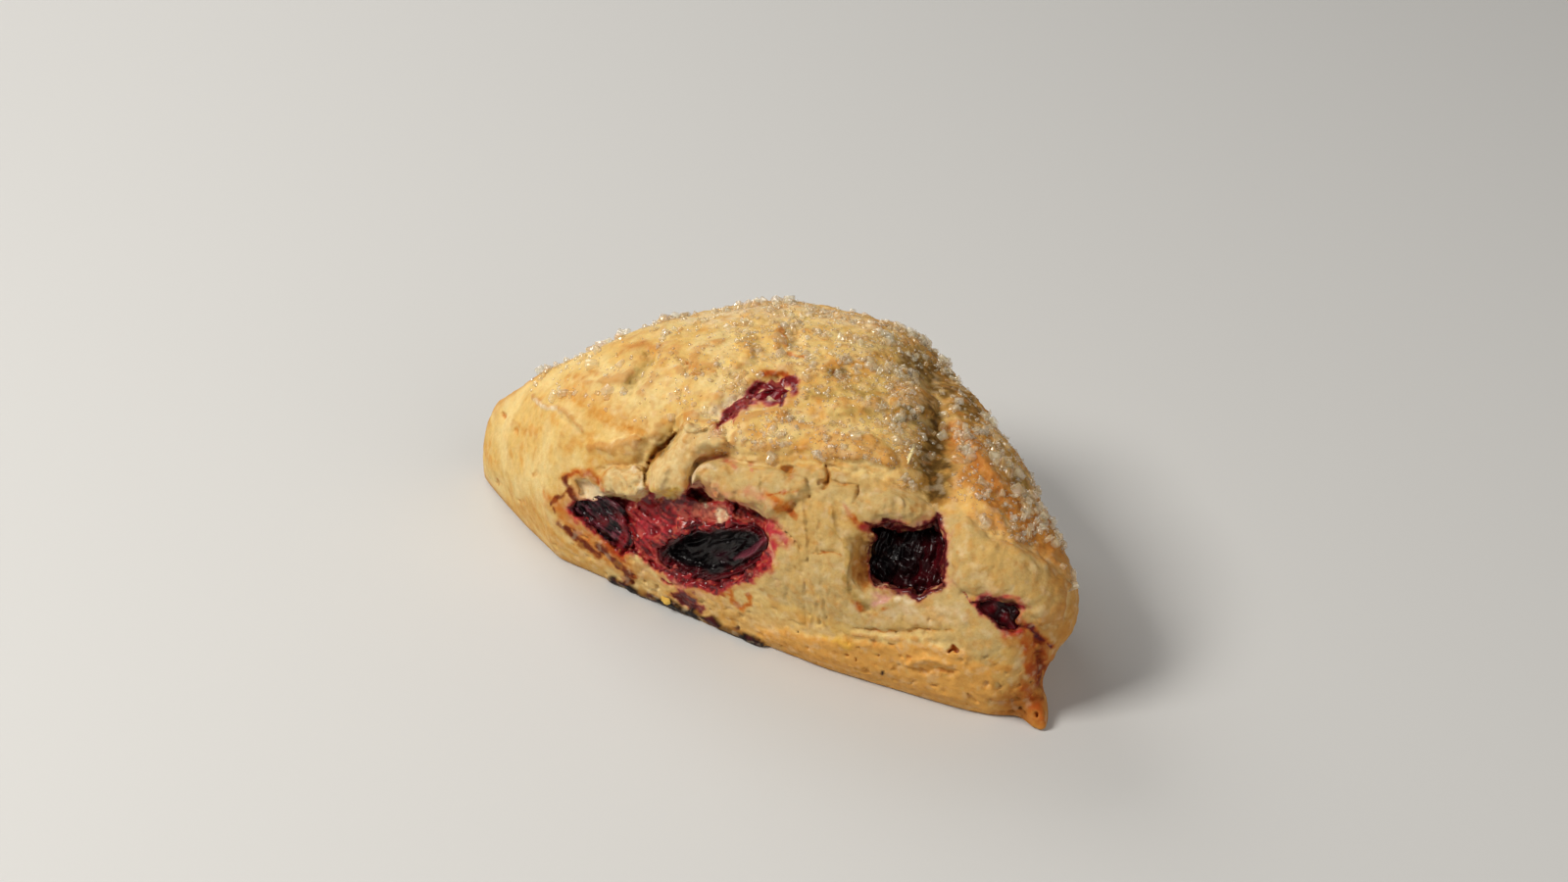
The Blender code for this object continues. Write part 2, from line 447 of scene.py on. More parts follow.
LENS_BERRY = [(671, 564), (676, 556), (684, 548), (696, 542), (704, 538), (712, 535), (726, 538),
              (740, 535), (756, 534), (768, 536), (778, 541), (783, 550), (780, 562), (776, 568),
              (760, 578), (744, 586), (730, 590), (716, 591), (700, 586), (688, 580), (678, 576)]
LEFT_BERRY = [(585, 514), (590, 508), (600, 510), (612, 508), (626, 510), (640, 513), (641, 520),
              (637, 528), (638, 536), (642, 544), (648, 552), (652, 562), (640, 563), (630, 557),
              (620, 552), (611, 545), (603, 534), (595, 526), (588, 522)]
CRATER = [(885, 538), (890, 534), (902, 533), (910, 535), (920, 538), (940, 537), (950, 535),
          (958, 530), (961, 540), (962, 550), (962, 560), (961, 570), (962, 580), (963, 590),
          (966, 596), (958, 599), (950, 602), (944, 608), (936, 612), (932, 608), (930, 602),
          (922, 604), (914, 602), (904, 598), (892, 594), (887, 584), (886, 570), (887, 556),
          (890, 548)]
HEART = [(996, 616), (1002, 614), (1014, 612), (1030, 614), (1038, 618), (1040, 626), (1038, 632),
         (1042, 638), (1036, 641), (1028, 641), (1020, 636), (1010, 630), (1002, 626), (998, 622)]
HEART_TAIL = [(981, 601), (988, 612), (996, 616)]
SEAM = [(1040, 637), (1052, 642), (1060, 654), (1072, 658)]
CREVICE = [(732, 436), (740, 424), (752, 414), (766, 405), (778, 396), (786, 384), (797, 381),
           (810, 387), (811, 396), (804, 407), (798, 416), (780, 412), (764, 413), (752, 418),
           (744, 430)]
CRACK = [(693, 438), (684, 448), (675, 457), (667, 467), (662, 480), (659, 492)]
CRATER_RIM = [(847, 514), (850, 530), (854, 544), (862, 554), (869, 560), (866, 574), (862, 590),
              (866, 602), (876, 614), (884, 620)]
VALLEY_LINE = [(950, 396), (958, 414), (960, 435), (957, 460), (953, 482), (956, 505)]
CRUST_EDGE = [(712, 473), (735, 468), (768, 471), (792, 476), (816, 472), (850, 478), (884, 480),
              (905, 492), (932, 502), (952, 518)]
INNER = [(703, 470), (735, 468), (768, 471), (816, 472), (850, 478), (884, 480), (905, 492),
         (932, 500), (953, 522), (966, 516), (985, 517), (1000, 532), (1040, 560), (1072, 575),
         (1082, 610), (1060, 640), (1030, 640), (1012, 690), (960, 652), (900, 648), (850, 642),
         (800, 622), (768, 600), (786, 570), (790, 530), (784, 515), (745, 505), (700, 500)]
BAND = [(770, 640), (800, 640), (850, 650), (900, 650), (945, 650), (985, 660), (1010, 680),
        (1030, 712), (1010, 738), (960, 722), (900, 705), (850, 688), (800, 670), (770, 656)]
LOBE_FRONT = [(968, 534), (985, 524), (1010, 545), (1040, 560), (1074, 572), (1092, 600),
              (1086, 635), (1062, 642), (1042, 618), (1000, 608), (975, 598), (968, 570)]
# The dark glossy crust of burnt juice along the front foot.
FOOT_JUICE = [(632, 588), (650, 598), (672, 607), (700, 617), (726, 628), (752, 643), (772, 655)]
# Where sugar lies on the side that the photograph shows.
SUGARED = [(498, 412), (545, 398), (575, 398), (600, 416), (640, 440), (664, 438), (690, 420),
           (702, 440), (716, 462), (768, 467), (830, 468), (880, 472), (905, 484), (935, 503),
           (955, 526), (965, 512), (982, 510), (995, 525), (1012, 540), (1045, 560), (1080, 558),
           (1102, 600), (1140, 600), (1140, 250), (470, 250), (470, 412)]

# Relief: pixels, width (None for an outline), height in millimetres, and in pixels how gently
# it rises from its edge and how ragged that edge is. What stands over DOMED is rounded like a
# pillow, with steep edges.
DOMED = 1.25
RELIEF = (
    ([(702, 446), (716, 440), (735, 439), (748, 426), (764, 416), (792, 417), (830, 424),
      (870, 432), (905, 446), (925, 470), (907, 486), (884, 475), (850, 473), (818, 468),
      (790, 471), (768, 467), (740, 464), (716, 468), (704, 460)], None, 1.2, 13, 2.0),
    ([(748, 428), (764, 419), (792, 419), (800, 424)], 9, 0.8, 9, 1.0),
    ([(702, 418), (690, 436), (679, 450), (668, 464), (656, 477), (635, 478), (612, 482)],
     [8, 14, 20, 22, 20, 12, 8], -1.7, 20, 1.5),
    ([(590, 450), (620, 440), (650, 436), (664, 448), (650, 466), (620, 470), (598, 466)], None,
     0.9, 16, 1.5),
    (FLAP, None, 2.2, 20, 3.0),
    ([(680, 462), (676, 480), (672, 500)], 8, 0.8, 8, 2.0),
    ([(740, 465), (724, 467), (711, 473), (706, 485), (704, 500)], 5, -1.0, 5, 1.0),
    (KNOB, None, 2.3, 15, 3.0),
    ([(646, 478), (656, 482), (659, 492), (651, 503)], 4, 0.7, 4, 1.0),
    ([(626, 484), (634, 490), (640, 500)], 4, -0.6, 5, 2.0),
    (LIP, None, 2.0, 22, 3.0),
    ([(708, 500), (709, 488), (716, 481), (728, 478)], 4, 0.8, 5, 1.0),
    ([(742, 476), (752, 490), (748, 506)], 3, -0.5, 4, 2.0),
    ([(778, 480), (776, 494), (782, 508)], 3, -0.5, 4, 2.0),
    (SHELF, None, -1.4, 5, 0.8),
    ([(688, 434), (690, 424), (700, 418), (714, 421), (728, 428), (730, 436), (716, 440),
      (704, 442)], None, 1.4, 9, 1.0),
    (LOBE_FRONT, None, 1.6, 34, 2.0),
    (BAND, None, 0.7, 10, 2.0),
    ([(904, 410), (910, 400), (925, 394), (945, 398), (957, 410), (955, 424), (935, 428),
      (915, 424)], None, 1.5, 14, 1.5),
    ([(948, 396), (955, 414), (956, 435), (953, 460), (951, 482), (954, 505), (960, 524)],
     [14, 24, 30, 31, 30, 22, 12], -1.0, 30, 0.6),
    ([(662, 362), (656, 378), (645, 396)], 13, -0.7, 13, 1.0),
    ([(799, 332), (818, 336), (822, 352), (820, 362), (804, 358), (798, 346)], None, -0.8, 6, 0.8),
    ([(793, 330), (792, 346), (797, 358)], 6, 0.5, 6, 0.5),
    ([(834, 374), (850, 368), (868, 372), (872, 388), (856, 394), (840, 388)], None, -0.9, 12, 3.0),
    (CRATER_RIM, [5, 6, 6, 6, 7, 7, 6, 5, 4, 3], 0.7, 7, 0.6),
    ([(862, 546), (872, 534), (892, 530), (906, 545), (904, 596), (920, 610), (896, 618),
      (872, 604), (863, 580)], None, -3.2, 25, 0.6),
    ([(866, 505), (900, 498), (935, 504), (955, 518), (960, 530), (940, 536), (905, 534),
      (885, 537), (870, 528)], None, 0.9, 12, 1.5),
    (CRUST_EDGE, [3, 4, 4, 4, 4, 4, 4, 4, 4, 3], -0.45, 4, 1.2),
    ([(576, 392), (612, 376), (650, 370), (656, 384), (640, 400), (600, 398)], None, 0.7, 14, 2),
    ([(690, 350), (730, 335), (770, 335), (785, 360), (760, 385), (725, 390), (700, 380)], None,
     1.0, 18, 2),
    ([(820, 395), (850, 393), (900, 400), (905, 430), (860, 430), (825, 415)], None, 0.6, 14, 2),
    ([(975, 420), (1000, 440), (1030, 480), (1040, 505), (1015, 500), (985, 470), (970, 440)],
     None, 1.0, 16, 2),
    ([(544, 404), (558, 416), (576, 418), (596, 438)], 4, 0.4, 4, 0.5),
    ([(574, 425), (592, 441)], 2.4, -0.25, 2, 0.3),
    ([(716, 432), (726, 412), (744, 398), (768, 384), (790, 372), (812, 380), (816, 396),
      (800, 416), (764, 414), (746, 430)], None, -1.3, 16, 1.5),
    ([(836, 493), (846, 493), (862, 493), (876, 494), (877, 503), (872, 512)], 2.4, -0.6, 2, 0.3),
    ([(843, 479), (845, 487), (841, 497)], 3.4, -0.9, 3, 0.5),
    ([(796, 476), (806, 474), (815, 478), (808, 484), (798, 489), (800, 482)], None, -1.4, 4, 0.4),
    ([(825, 505), (826, 507)], 3, -0.7, 3, 0),
    ([(804, 500), (806, 500)], 2.4, -0.5, 2, 0),
    ([(828, 564), (842, 566), (858, 566)], [1.6, 2.6, 1.6], -0.5, 2, 0.3),
    ([(870, 639), (900, 642), (916, 643), (942, 642), (970, 644)], [1.5, 2.6, 2.8, 2, 1.2], -0.7,
     2.4, 0.5),
    ([(870, 648), (910, 652), (950, 651)], 5, 0.5, 5, 1.0),
    ([(949, 625), (958, 629), (966, 634)], 1.9, -0.4, 2, 0.3),
    ([(790, 532), (797, 541), (808, 550), (817, 559)], 2.4, -0.7, 2.4, 0.8),
    ([(514, 424), (515, 425)], 3.4, -0.4, 3, 0),
    ([(527, 440), (528, 441)], 3.6, -0.4, 3, 0),
    ([(545, 481), (546, 483)], 3.0, -0.3, 3, 0),
    ([(510, 491), (511, 493)], 3.2, -0.3, 3, 0),
    ([(530, 510), (532, 512)], 3.0, -0.3, 3, 0),
    ([(692, 366), (704, 372), (700, 380)], 4, -0.7, 3, 1.5),
    ([(716, 375), (728, 378)], 3, -0.5, 3, 1.0),
    ([(966, 662), (970, 658), (976, 664)], 2.8, -0.8, 2.4, 0.3),
    ([(940, 684), (955, 681), (972, 687)], 3, -0.6, 3, 1.2),
    ([(926, 678), (950, 674), (966, 679)], 4, 0.5, 4, 1.2),
    (HEART_TAIL, [1.2, 1.8, 2.6], -0.8, 2, 0.2),
    (SEAM, [6, 6, 5, 4], -0.4, 6, 1.6),
    ([(1060, 660), (1068, 664), (1072, 671)], 5, 0.5, 5, 0.8),
    ([(1056, 668), (1062, 680), (1060, 700)], 6, -0.5, 6, 0.8),
)

# Holes: pixels, width, depth under the plain crust in millimetres, blend and roughness.
HOLES = (
    (CAVITY, None, 1.1, 1.4, 0.5),
    ([(616, 506), (640, 508), (656, 500), (700, 506), (716, 496), (760, 514), (784, 530),
      (784, 556), (760, 532), (700, 534), (660, 548), (640, 540), (620, 520)], None, 2.2, 1.2, 0.5),
    ([(698, 509), (704, 500), (716, 495), (724, 504), (736, 510), (730, 515), (712, 515)], None,
     4.4, 0.5, 0.3),
    ([(750, 512), (764, 518), (778, 524), (783, 534), (774, 534), (756, 530), (744, 522)], None,
     3.4, 0.6, 0.3),
    (LENS_BERRY, None, 5.0, 0.5, 0.6),
    (LEFT_BERRY, None, 3.0, 0.5, 0.5),
    (CRATER, None, 7.5, 0.4, 0.45),
    (HEART, None, 3.6, 0.4, 0.4),
    (CREVICE, None, 1.0, 1.2, 0.7),
    ([(764, 402), (776, 392), (790, 386), (804, 388), (808, 398), (796, 408), (782, 406)], None,
     1.9, 0.7, 0.6),
    (CRACK, [1, 3.2, 4.5, 3, 1.4, 0.6], 3.2, 1.0, 0.3),
)

# Upright ridges that a knife left in the pale front, and faint ones in the left cheek: outline
# and softness in pixels, then for each set of ridges its height in millimetres, width and length
# in pixels, direction in degrees and seed.
KNIFE_MARKS = (
    ([(796, 505), (848, 500), (864, 560), (860, 600), (874, 640), (820, 650), (790, 612),
      (800, 560)], 14, ((0.4, 4.2, 60, 84, 71), (0.2, 2.4, 34, 84, 72))),
    ([(506, 420), (560, 400), (610, 430), (590, 480), (560, 510), (540, 530), (505, 490)], 16,
     ((0.10, 3.4, 46, 62, 73), (0.07, 2.0, 24, 62, 74))),
    ([(885, 500), (930, 505), (955, 525), (950, 536), (890, 534)], 8, ((0.3, 3.2, 30, 84, 75),)),
)

# The loaf's broad swells, and the lumps on the floor of its openings: height, size and seed.
SWELLS = ((0.55, 16, 3), (0.45, 8, 5))
PULP_LUMPS = ((0.6, 4.5, 17), (0.45, 1.7, 18))

# Small bumps: size and seed, height on the plain crust, and what the sugared top, torn pulp and
# the left cheek add to it.
BUMPS = (
    (3.6, 11, 0.20, 0.08, 0.14, -0.08),
    (1.7, 12, 0.14, 0.06, 0.26, -0.07),
    (0.95, 16, 0.07, 0.08, 0.14, -0.04),
)

# In pixels: how far round its outline a hole is worked, and the distances from the valley's line
# between which the bumps are calmed more and more.
HOLE_EDGE = 14
VALLEY_REACH = (34, 12)


def work_relief(spots, points, height):
    """Adds the photograph's ridges, lumps and grooves to the height of each point."""
    for number, (pixels, width, rise, soft, ragged) in enumerate(RELIEF):
        near, share = marked(spots, pixels, width, soft, ragged, points, 2.6, number,
                             domed=rise > DOMED)
        height[near] += rise * share
    for pixels, soft, ridges in KNIFE_MARKS:
        near, share = marked(spots, pixels, None, soft)
        height[near] += share * sum(rise * streaks(spots[near], *way) for rise, *way in ridges)


def foot_juice(spots, points, soft, high, low, uneven):
    """Which points are on the juice that has set along the foot, and how fully.

    It thins out upward between the low and the high level, which are uneven.
    """
    near, share = marked(spots, FOOT_JUICE, 13, soft, 2, points, 3.0, 83)
    level = points[near, 2] + uneven * noise(points[near], 2.5, 84)
    return near, share * smoothstep(high, low, level)


def sculpt():
    """The dough with its folds, tears and uneven crust."""
    low, high = (np.array(corner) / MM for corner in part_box("dough"))
    clay = Clay(low - GRID_MARGIN, high + GRID_MARGIN, STEP)
    index, points = clay.near_surface(REACH)
    spots = wandering_pixels(points)
    height = noise_sum(points, SWELLS) - 0.5 * smoothstep(40, 46, points[:, 2])
    relief = np.zeros(len(points), np.float32)
    work_relief(spots, points, relief)
    facing = clay.facing[index]
    height = (height + relief * facing) * smoothstep(0.0, 5.0, points[:, 2])
    # Juice that ran out of the cavity has set along the foot as a thin ledge.
    near, share = foot_juice(spots, points, 9, 2.8, 1.7, 1.0)
    height[near] += 0.9 * share * facing[near]
    clay.distance[index] -= height
    dig_holes(clay)
    roughen(clay)
    return clay


def dig_holes(clay):
    """The openings in the crust: the cavity, the pockets and the tears."""
    index, points = clay.near_surface(REACH, HOLE_REACH, facing=0.2)
    spots = wandering_pixels(points)
    inside = -clay.plain[index]
    for number, (pixels, width, depth, blend, rough) in enumerate(HOLES):
        near = spots_near(spots, pixels, HOLE_EDGE)
        gap = mark_distance(spots[near], pixels, width) / PIXELS_A_MM
        gap = gap + rough * rough_noise(points[near], 2.2, 30 + number, gain=0.7)
        pulp = noise_sum(points[near], PULP_LUMPS) + 0.5 * streaks(spots[near], 4.5, 20, 40, 77)
        floor = inside[near] - depth - pulp
        hole = smooth_max(gap + 0.12 * np.clip(inside[near], 0, None), floor, 0.8)
        cell = tuple(i[near] for i in index)
        clay.distance[cell] = smooth_max(clay.distance[cell], -hole, blend)


def roughen(clay):
    """The crust's small bumps: strong on the sugared top, faint on the left cheek and valley."""
    index, points = clay.near_surface(1.6)
    z = points[:, 2]
    top, cheek = top_share(points), cheek_share(points)
    torn = smoothstep(0.9, 2.0, -clay.plain[index])
    foot = (1 - smoothstep(8, 16, z)) * (1 - cheek)
    height = 0
    for size, seed, plain, on_top, in_tear, on_cheek in BUMPS:
        strength = plain + on_top * top + in_tear * torn + on_cheek * cheek
        height = height + strength * noise(points, size, seed)
    melted = np.clip(noise(points, 1.6, 14) + 0.08, 0, 0.5)
    height += 0.22 * top * (1 - torn) * melted * smoothstep(-0.3, 0.2, noise(points, 7, 15))
    pores = np.clip(noise(points, 1.5, 13) - 0.3, 0, None)
    height -= (1.0 - 0.7 * cheek + 1.0 * foot) * pores * (1 - 0.5 * top)
    valley = smoothstep(*VALLEY_REACH, line_distance(pixels_of(points), VALLEY_LINE))
    height *= 1 - 0.75 * valley * clay.facing[index]
    clay.distance[index] -= height * smoothstep(0.2, 1.4, z)
    down = -np.meshgrid(*clay.axes, indexing="ij", sparse=True)[2]
    clay.distance = smooth_max(clay.distance, down, 0.3).astype(np.float32)


# ----------------------------------------
# Painting
# ----------------------------------------


def paint(*levels):
    """A colour given as screen levels from 0 to 255, in Blender's linear values."""
    share = np.array(levels) / 255
    return np.where(share <= 0.04045, share / 12.92, ((share + 0.055) / 1.055) ** 2.4)


GOLD = paint(216, 180, 106)
PALE = paint(226, 200, 136)
CREAM = paint(214, 188, 132)
INSIDE = paint(197, 168, 110)
SANDY = paint(206, 166, 94)
WHITISH = paint(228, 208, 170)
AMBER = paint(206, 148, 66)
ORANGE = paint(196, 108, 38)
BROWN = paint(180, 114, 48)
# The next colour is painted shade: deep brown in a pit, down the right pocket's wall and in the
# crack.
DEEP_BROWN_SHADE = paint(128, 70, 22)
BASE_BROWN = paint(222, 165, 84)
UNDERSIDE = paint(172, 112, 52)
RUST = paint(172, 78, 22)
BURNT = paint(104, 36, 8)
CRIMSON = paint(152, 20, 28)
JAM = paint(118, 16, 26)
ROSE = paint(182, 46, 58)
WINE = paint(80, 8, 16)
PINK = paint(208, 128, 102)
MILKY = paint(206, 152, 132)
CHAR = paint(22, 10, 8)
# The next two colours are painted shade: olive brown in cracks, pits and under ridges, and the
# darker brown of the valley.
OLIVE_SHADE = paint(106, 80, 28)
VALLEY_SHADE = paint(86, 60, 20)
YELLOW = paint(232, 188, 70)
FROST = paint(216, 192, 148)


# Marks with less green than the first value below soak in, dark stains and painted shade alike.
# Nothing is darker than the blackest while it soaks.
SOAKING_GREEN = 0.2
BLACKEST = 0.002


def coat(colour, points):
    """One colour for every point."""
    return np.broadcast_to(colour, (len(points), 3)).copy()


def mix(tint, colour, share):
    """Lays a colour over the tint of each point."""
    return tint + (colour - tint) * np.clip(share, 0, 1)[:, None]


def soak(tint, colour, share):
    """Mixes as a dye does, so that the thin edges of dark stains and of painted shade stay warm."""
    share = share[:, None]
    return np.maximum(tint, BLACKEST) ** (1 - share) * np.maximum(colour, BLACKEST) ** share


def ring(outline):
    """The closed line round an outline."""
    return outline + outline[:1]


# Marks: pixels, width (None for an outline), colour, strength, softness and raggedness in
# pixels, and wetness (None leaves it).
MARKS = (
    (INNER, None, INSIDE, 0.85, 10, 3, None),
    (BAND, None, BASE_BROWN, 0.9, 10, 4, None),
    ([(700, 668), (760, 672), (840, 694), (920, 720), (1000, 742), (1060, 752)], 16, BASE_BROWN,
     0.7, 12, 4, None),
    (LOBE_FRONT, None, SANDY, 0.35, 16, 3, None),
    ([(842, 652), (856, 655), (866, 660)], 9, YELLOW, 0.5, 9, 3, None),
    # Juice that has soaked the dough round the cavity.
    (ring(CAVITY), 14, PINK, 0.5, 15, 6, None),
    (ring(CAVITY), 8, ROSE, 0.6, 9, 5, None),
    (ring(CAVITY), 4, CRIMSON, 0.9, 5, 3, 0.4),
    (FLAP, None, CREAM, 0.7, 6, 2, None),
    ([(664, 498), (676, 503), (690, 504)], 5, YELLOW, 0.55, 6, 1, 0.2),
    ([(700, 446), (697, 470), (694, 492)], 4, AMBER, 0.35, 5, 1, None),
    (KNOB, None, CREAM, 0.85, 4, 2, None),
    ([(648, 480), (657, 488), (653, 502)], 4, WHITISH, 0.8, 4, 0.8, None),
    (SHELF, None, WHITISH, 0.9, 3, 1, None),
    (LIP, None, INSIDE, 0.8, 6, 2, None),
    ([(724, 500), (750, 500), (780, 506)], 10, PINK, 0.4, 10, 3, None),
    ([(706, 494), (710, 484), (718, 479), (730, 480)], 4.5, WHITISH, 0.8, 4, 0.8, None),
    ([(712, 470), (722, 467), (738, 468), (752, 476)], 5, PINK, 0.75, 6, 2, None),
    ([(728, 504), (744, 508), (762, 514)], 5, PINK, 0.7, 5, 2, None),
    ([(716, 468), (735, 464), (768, 467), (790, 470), (816, 468), (850, 472), (884, 475),
      (905, 486)], 4, AMBER, 0.45, 5, 2, None),
    ([(578, 402), (594, 414), (612, 424), (626, 432)], 7, AMBER, 0.75, 8, 3, None),
    ([(634, 434), (656, 442)], 6, AMBER, 0.8, 6, 3, None),
    ([(588, 384), (604, 378)], 7, BROWN, 0.45, 8, 3, None),
    ([(634, 358), (660, 350)], 6, BROWN, 0.5, 8, 3, None),
    # The next mark is painted shade: thin brown lines in the small cracks on the left of the top.
    ([(686, 362), (704, 372), (698, 382), (718, 376), (728, 378)], 2.2, BROWN, 0.7, 3, 1.5, None),
    ([(740, 380), (760, 360), (750, 345)], 10, YELLOW, 0.3, 12, 5, None),
    # The next mark is painted shade in the groove on the left of the crown.
    ([(662, 362), (656, 378), (645, 396)], 9, OLIVE_SHADE, 0.2, 10, 3, None),
    ([(544, 406), (558, 418), (576, 420)], 3, WHITISH, 0.6, 3, 1, None),
    ([(797, 332), (799, 344), (802, 358), (820, 364)], 3, ORANGE, 0.7, 3.4, 1, None),
    ([(806, 338), (816, 346), (814, 358)], 7, PALE, 0.8, 6, 1.5, None),
    # The next two marks are painted shade in the pit on the top.
    ([(839, 376), (852, 370), (868, 374), (870, 388), (854, 392), (840, 387)], None, OLIVE_SHADE, 0.75,
     7, 4, None),
    ([(848, 380), (858, 387)], 4, DEEP_BROWN_SHADE, 0.7, 4, 2, None),
    ([(910, 402), (925, 399), (942, 401), (950, 407)], 7, AMBER, 0.85, 7, 2, None),
    # The next mark is painted shade below the raised ridge on the top.
    ([(914, 418), (936, 424), (954, 420)], 7, OLIVE_SHADE, 0.7, 7, 2, None),
    # The next two marks are painted shade down the valley between the crown and the right lobe.
    ([(948, 400), (954, 430), (954, 460), (953, 488), (956, 514)], [10, 20, 27, 27, 15], VALLEY_SHADE,
     0.95, 26, 2, None),
    ([(955, 462), (954, 486), (957, 508)], 13, VALLEY_SHADE, 0.9, 12, 1.5, None),
    ([(590, 404), (620, 420), (652, 438)], 26, AMBER, 0.5, 24, 4, None),
    # The next two marks are painted shade: the valley's upper end at the back, and beside the bulge
    # on the right lobe.
    ([(930, 366), (965, 390), (992, 424)], 24, VALLEY_SHADE, 0.45, 20, 4, None),
    ([(996, 436), (1024, 466), (1046, 500)], 12, OLIVE_SHADE, 0.4, 14, 4, None),
    ([(700, 324), (760, 314), (830, 312), (886, 330)], 17, WHITISH, 0.5, 16, 4, None),
    # The next mark is faint painted shade on the crust below the pit.
    ([(824, 404), (860, 398), (905, 404), (896, 422), (850, 424)], 12, OLIVE_SHADE, 0.2, 14, 4, None),
    ([(840, 448), (880, 452), (905, 470)], 16, AMBER, 0.5, 16, 5, None),
    ([(980, 440), (1000, 480), (1040, 525), (1072, 556)], 26, BROWN, 0.85, 24, 6, None),
    ([(530, 518), (560, 545), (590, 564)], 16, AMBER, 0.5, 14, 4, None),
    ([(890, 626), (935, 628), (980, 630)], 12, WHITISH, 0.55, 10, 3, None),
    # Juice that has soaked the dough round the right pocket and the corner's slit.
    (ring(CRATER), 9, PINK, 0.4, 9, 5, None),
    (ring(CRATER), 4.5, WINE, 0.95, 5, 3, 0.4),
    (ring(HEART), 8, ROSE, 0.5, 8, 4, None),
    (ring(HEART), 4, WINE, 0.9, 4, 2, 0.4),
    # The next three marks are painted shade: faint on the right pocket's rim, then brown and deep
    # brown down its left wall, which falls away into the hole.
    (CRATER_RIM, 6, OLIVE_SHADE, 0.22, 6, 1, None),
    ([(866, 542), (888, 534), (894, 596), (884, 606), (870, 592), (870, 566)], None, BROWN, 0.9,
     8, 1.5, None),
    ([(880, 548), (882, 570), (882, 590)], 7, DEEP_BROWN_SHADE, 0.6, 7, 1.5, None),
    ([(861, 514), (866, 526), (876, 535), (888, 540)], [3, 5, 6, 6], RUST, 0.9, 5, 1, None),
    ([(870, 530), (878, 537), (888, 541)], [2, 3.5, 4.5], CRIMSON, 0.9, 4, 1, 0.4),
    ([(888, 600), (914, 604), (906, 614), (894, 622), (886, 616)], None, MILKY, 0.85, 6, 1.5,
     0.3),
    ([(868, 612), (880, 622), (894, 626), (902, 620)], 4.5, RUST, 0.6, 6, 2.5, None),
    ([(912, 610), (926, 614), (940, 612)], 6, WHITISH, 0.8, 6, 2, None),
    # The next five marks are painted shade: rust and brown lines in the small cracks and in the
    # triangular pit.
    ([(828, 564), (842, 566), (858, 566)], 1.8, RUST, 0.6, 2, 0.5, None),
    ([(870, 639), (900, 642), (942, 642), (970, 644)], 1.6, BROWN, 0.7, 2, 0.6, None),
    ([(836, 493), (862, 493), (876, 494), (877, 503)], 1.6, BROWN, 0.7, 2, 0.4, None),
    ([(843, 479), (845, 487), (841, 497)], 3, BROWN, 0.7, 2.5, 0.6, None),
    ([(800, 478), (808, 480), (804, 486)], 4, BROWN, 0.65, 4, 0.6, None),
    ([(766, 472), (768, 478)], 3.2, PINK, 0.85, 3, 1, None),
    ([(730, 467), (745, 466), (752, 470)], 3, PINK, 0.5, 4, 1, None),
    ([(782, 502), (796, 504), (810, 512), (816, 528), (800, 530), (786, 522)], None, ORANGE, 0.75,
     6, 2, None),
    ([(786, 506), (800, 501), (811, 502)], 3, RUST, 0.85, 3, 1, None),
    ([(794, 515), (804, 522), (812, 529)], 3.4, RUST, 0.9, 3, 1, None),
    ([(784, 526), (800, 536), (812, 550), (802, 564), (784, 558)], None, ROSE, 0.6, 9, 3, None),
    ([(786, 536), (793, 548), (789, 560)], 5, ROSE, 0.8, 5, 2, None),
    # The next five marks are painted shade in the small pits of the left cheek.
    ([(513, 423), (515, 426)], 3.0, RUST, 0.55, 4, 0, None),
    ([(526, 439), (528, 442)], 3.2, AMBER, 0.9, 4, 0, None),
    ([(545, 480), (546, 484)], 2.4, BROWN, 0.6, 3, 0, None),
    ([(509, 489), (511, 494)], 3.2, BROWN, 0.6, 4, 0, None),
    ([(530, 509), (532, 513)], 2.4, BROWN, 0.6, 3, 0, None),
    ([(899, 686), (899, 688)], 1.6, CHAR, 0.9, 1.4, 0, None),
    # The next two marks are painted shade in a pit and a groove at the front foot.
    ([(966, 662), (970, 658), (975, 664)], 2.4, RUST, 0.95, 2, 0.4, None),
    ([(930, 680), (955, 684), (975, 688)], 2, BROWN, 0.6, 3, 2, None),
    # Burnt lines and spots round the left end of the cavity.
    ([(572, 486), (584, 482), (600, 483), (612, 492)], 5, ORANGE, 0.6, 6, 1.5, None),
    ([(575, 486), (584, 483), (592, 485), (600, 484), (608, 489), (611, 493)], 3, RUST, 0.95, 3,
     0.6, None),
    ([(574, 487), (575, 493), (580, 500), (587, 508)], 3.4, BURNT, 0.95, 3, 0.8, 0.2),
    ([(560, 515), (570, 509), (578, 500)], 3, BURNT, 0.9, 3, 0.8, 0.2),
    ([(563, 521), (565, 525)], 3, BURNT, 0.95, 3, 0.6, 0.2),
    ([(562, 508), (574, 524), (592, 546), (616, 566), (640, 582)], 13, ORANGE, 0.5, 14, 4, None),
    ([(570, 536), (582, 541), (591, 551), (602, 558), (609, 565)], [4, 7, 6, 5, 4], BURNT, 0.95,
     5, 2, 0.15),
    ([(592, 540), (600, 550), (612, 560)], 4, RUST, 0.7, 5, 2, None),
    ([(610, 556), (620, 564), (630, 576), (644, 592)], [4, 6, 7, 6], BURNT, 0.95, 5, 1.6, 0.3),
    ([(618, 552), (630, 563), (642, 571)], 5, RUST, 0.95, 5, 1.2, 0.3),
    ([(645, 570), (660, 576), (672, 586), (684, 598)], 6, PALE, 0.7, 6, 2, None),
    # Berry pulp and juice in and round the cavity.
    (CAVITY, None, CRIMSON, 1.0, 4, 1.6, 0.55),
    ([(646, 520), (664, 522), (690, 522), (696, 540), (676, 548), (656, 552), (642, 540)], None,
     ROSE, 0.75, 9, 4, 0.45),
    ([(706, 512), (724, 509), (742, 514), (748, 526), (736, 533), (716, 534), (704, 524)], None,
     PINK, 0.45, 5, 2.5, 0.35),
    ([(714, 512), (722, 516)], 3, WHITISH, 0.8, 3, 1, None),
    ([(734, 520), (744, 526), (738, 530)], 3.4, WHITISH, 0.75, 3, 1, None),
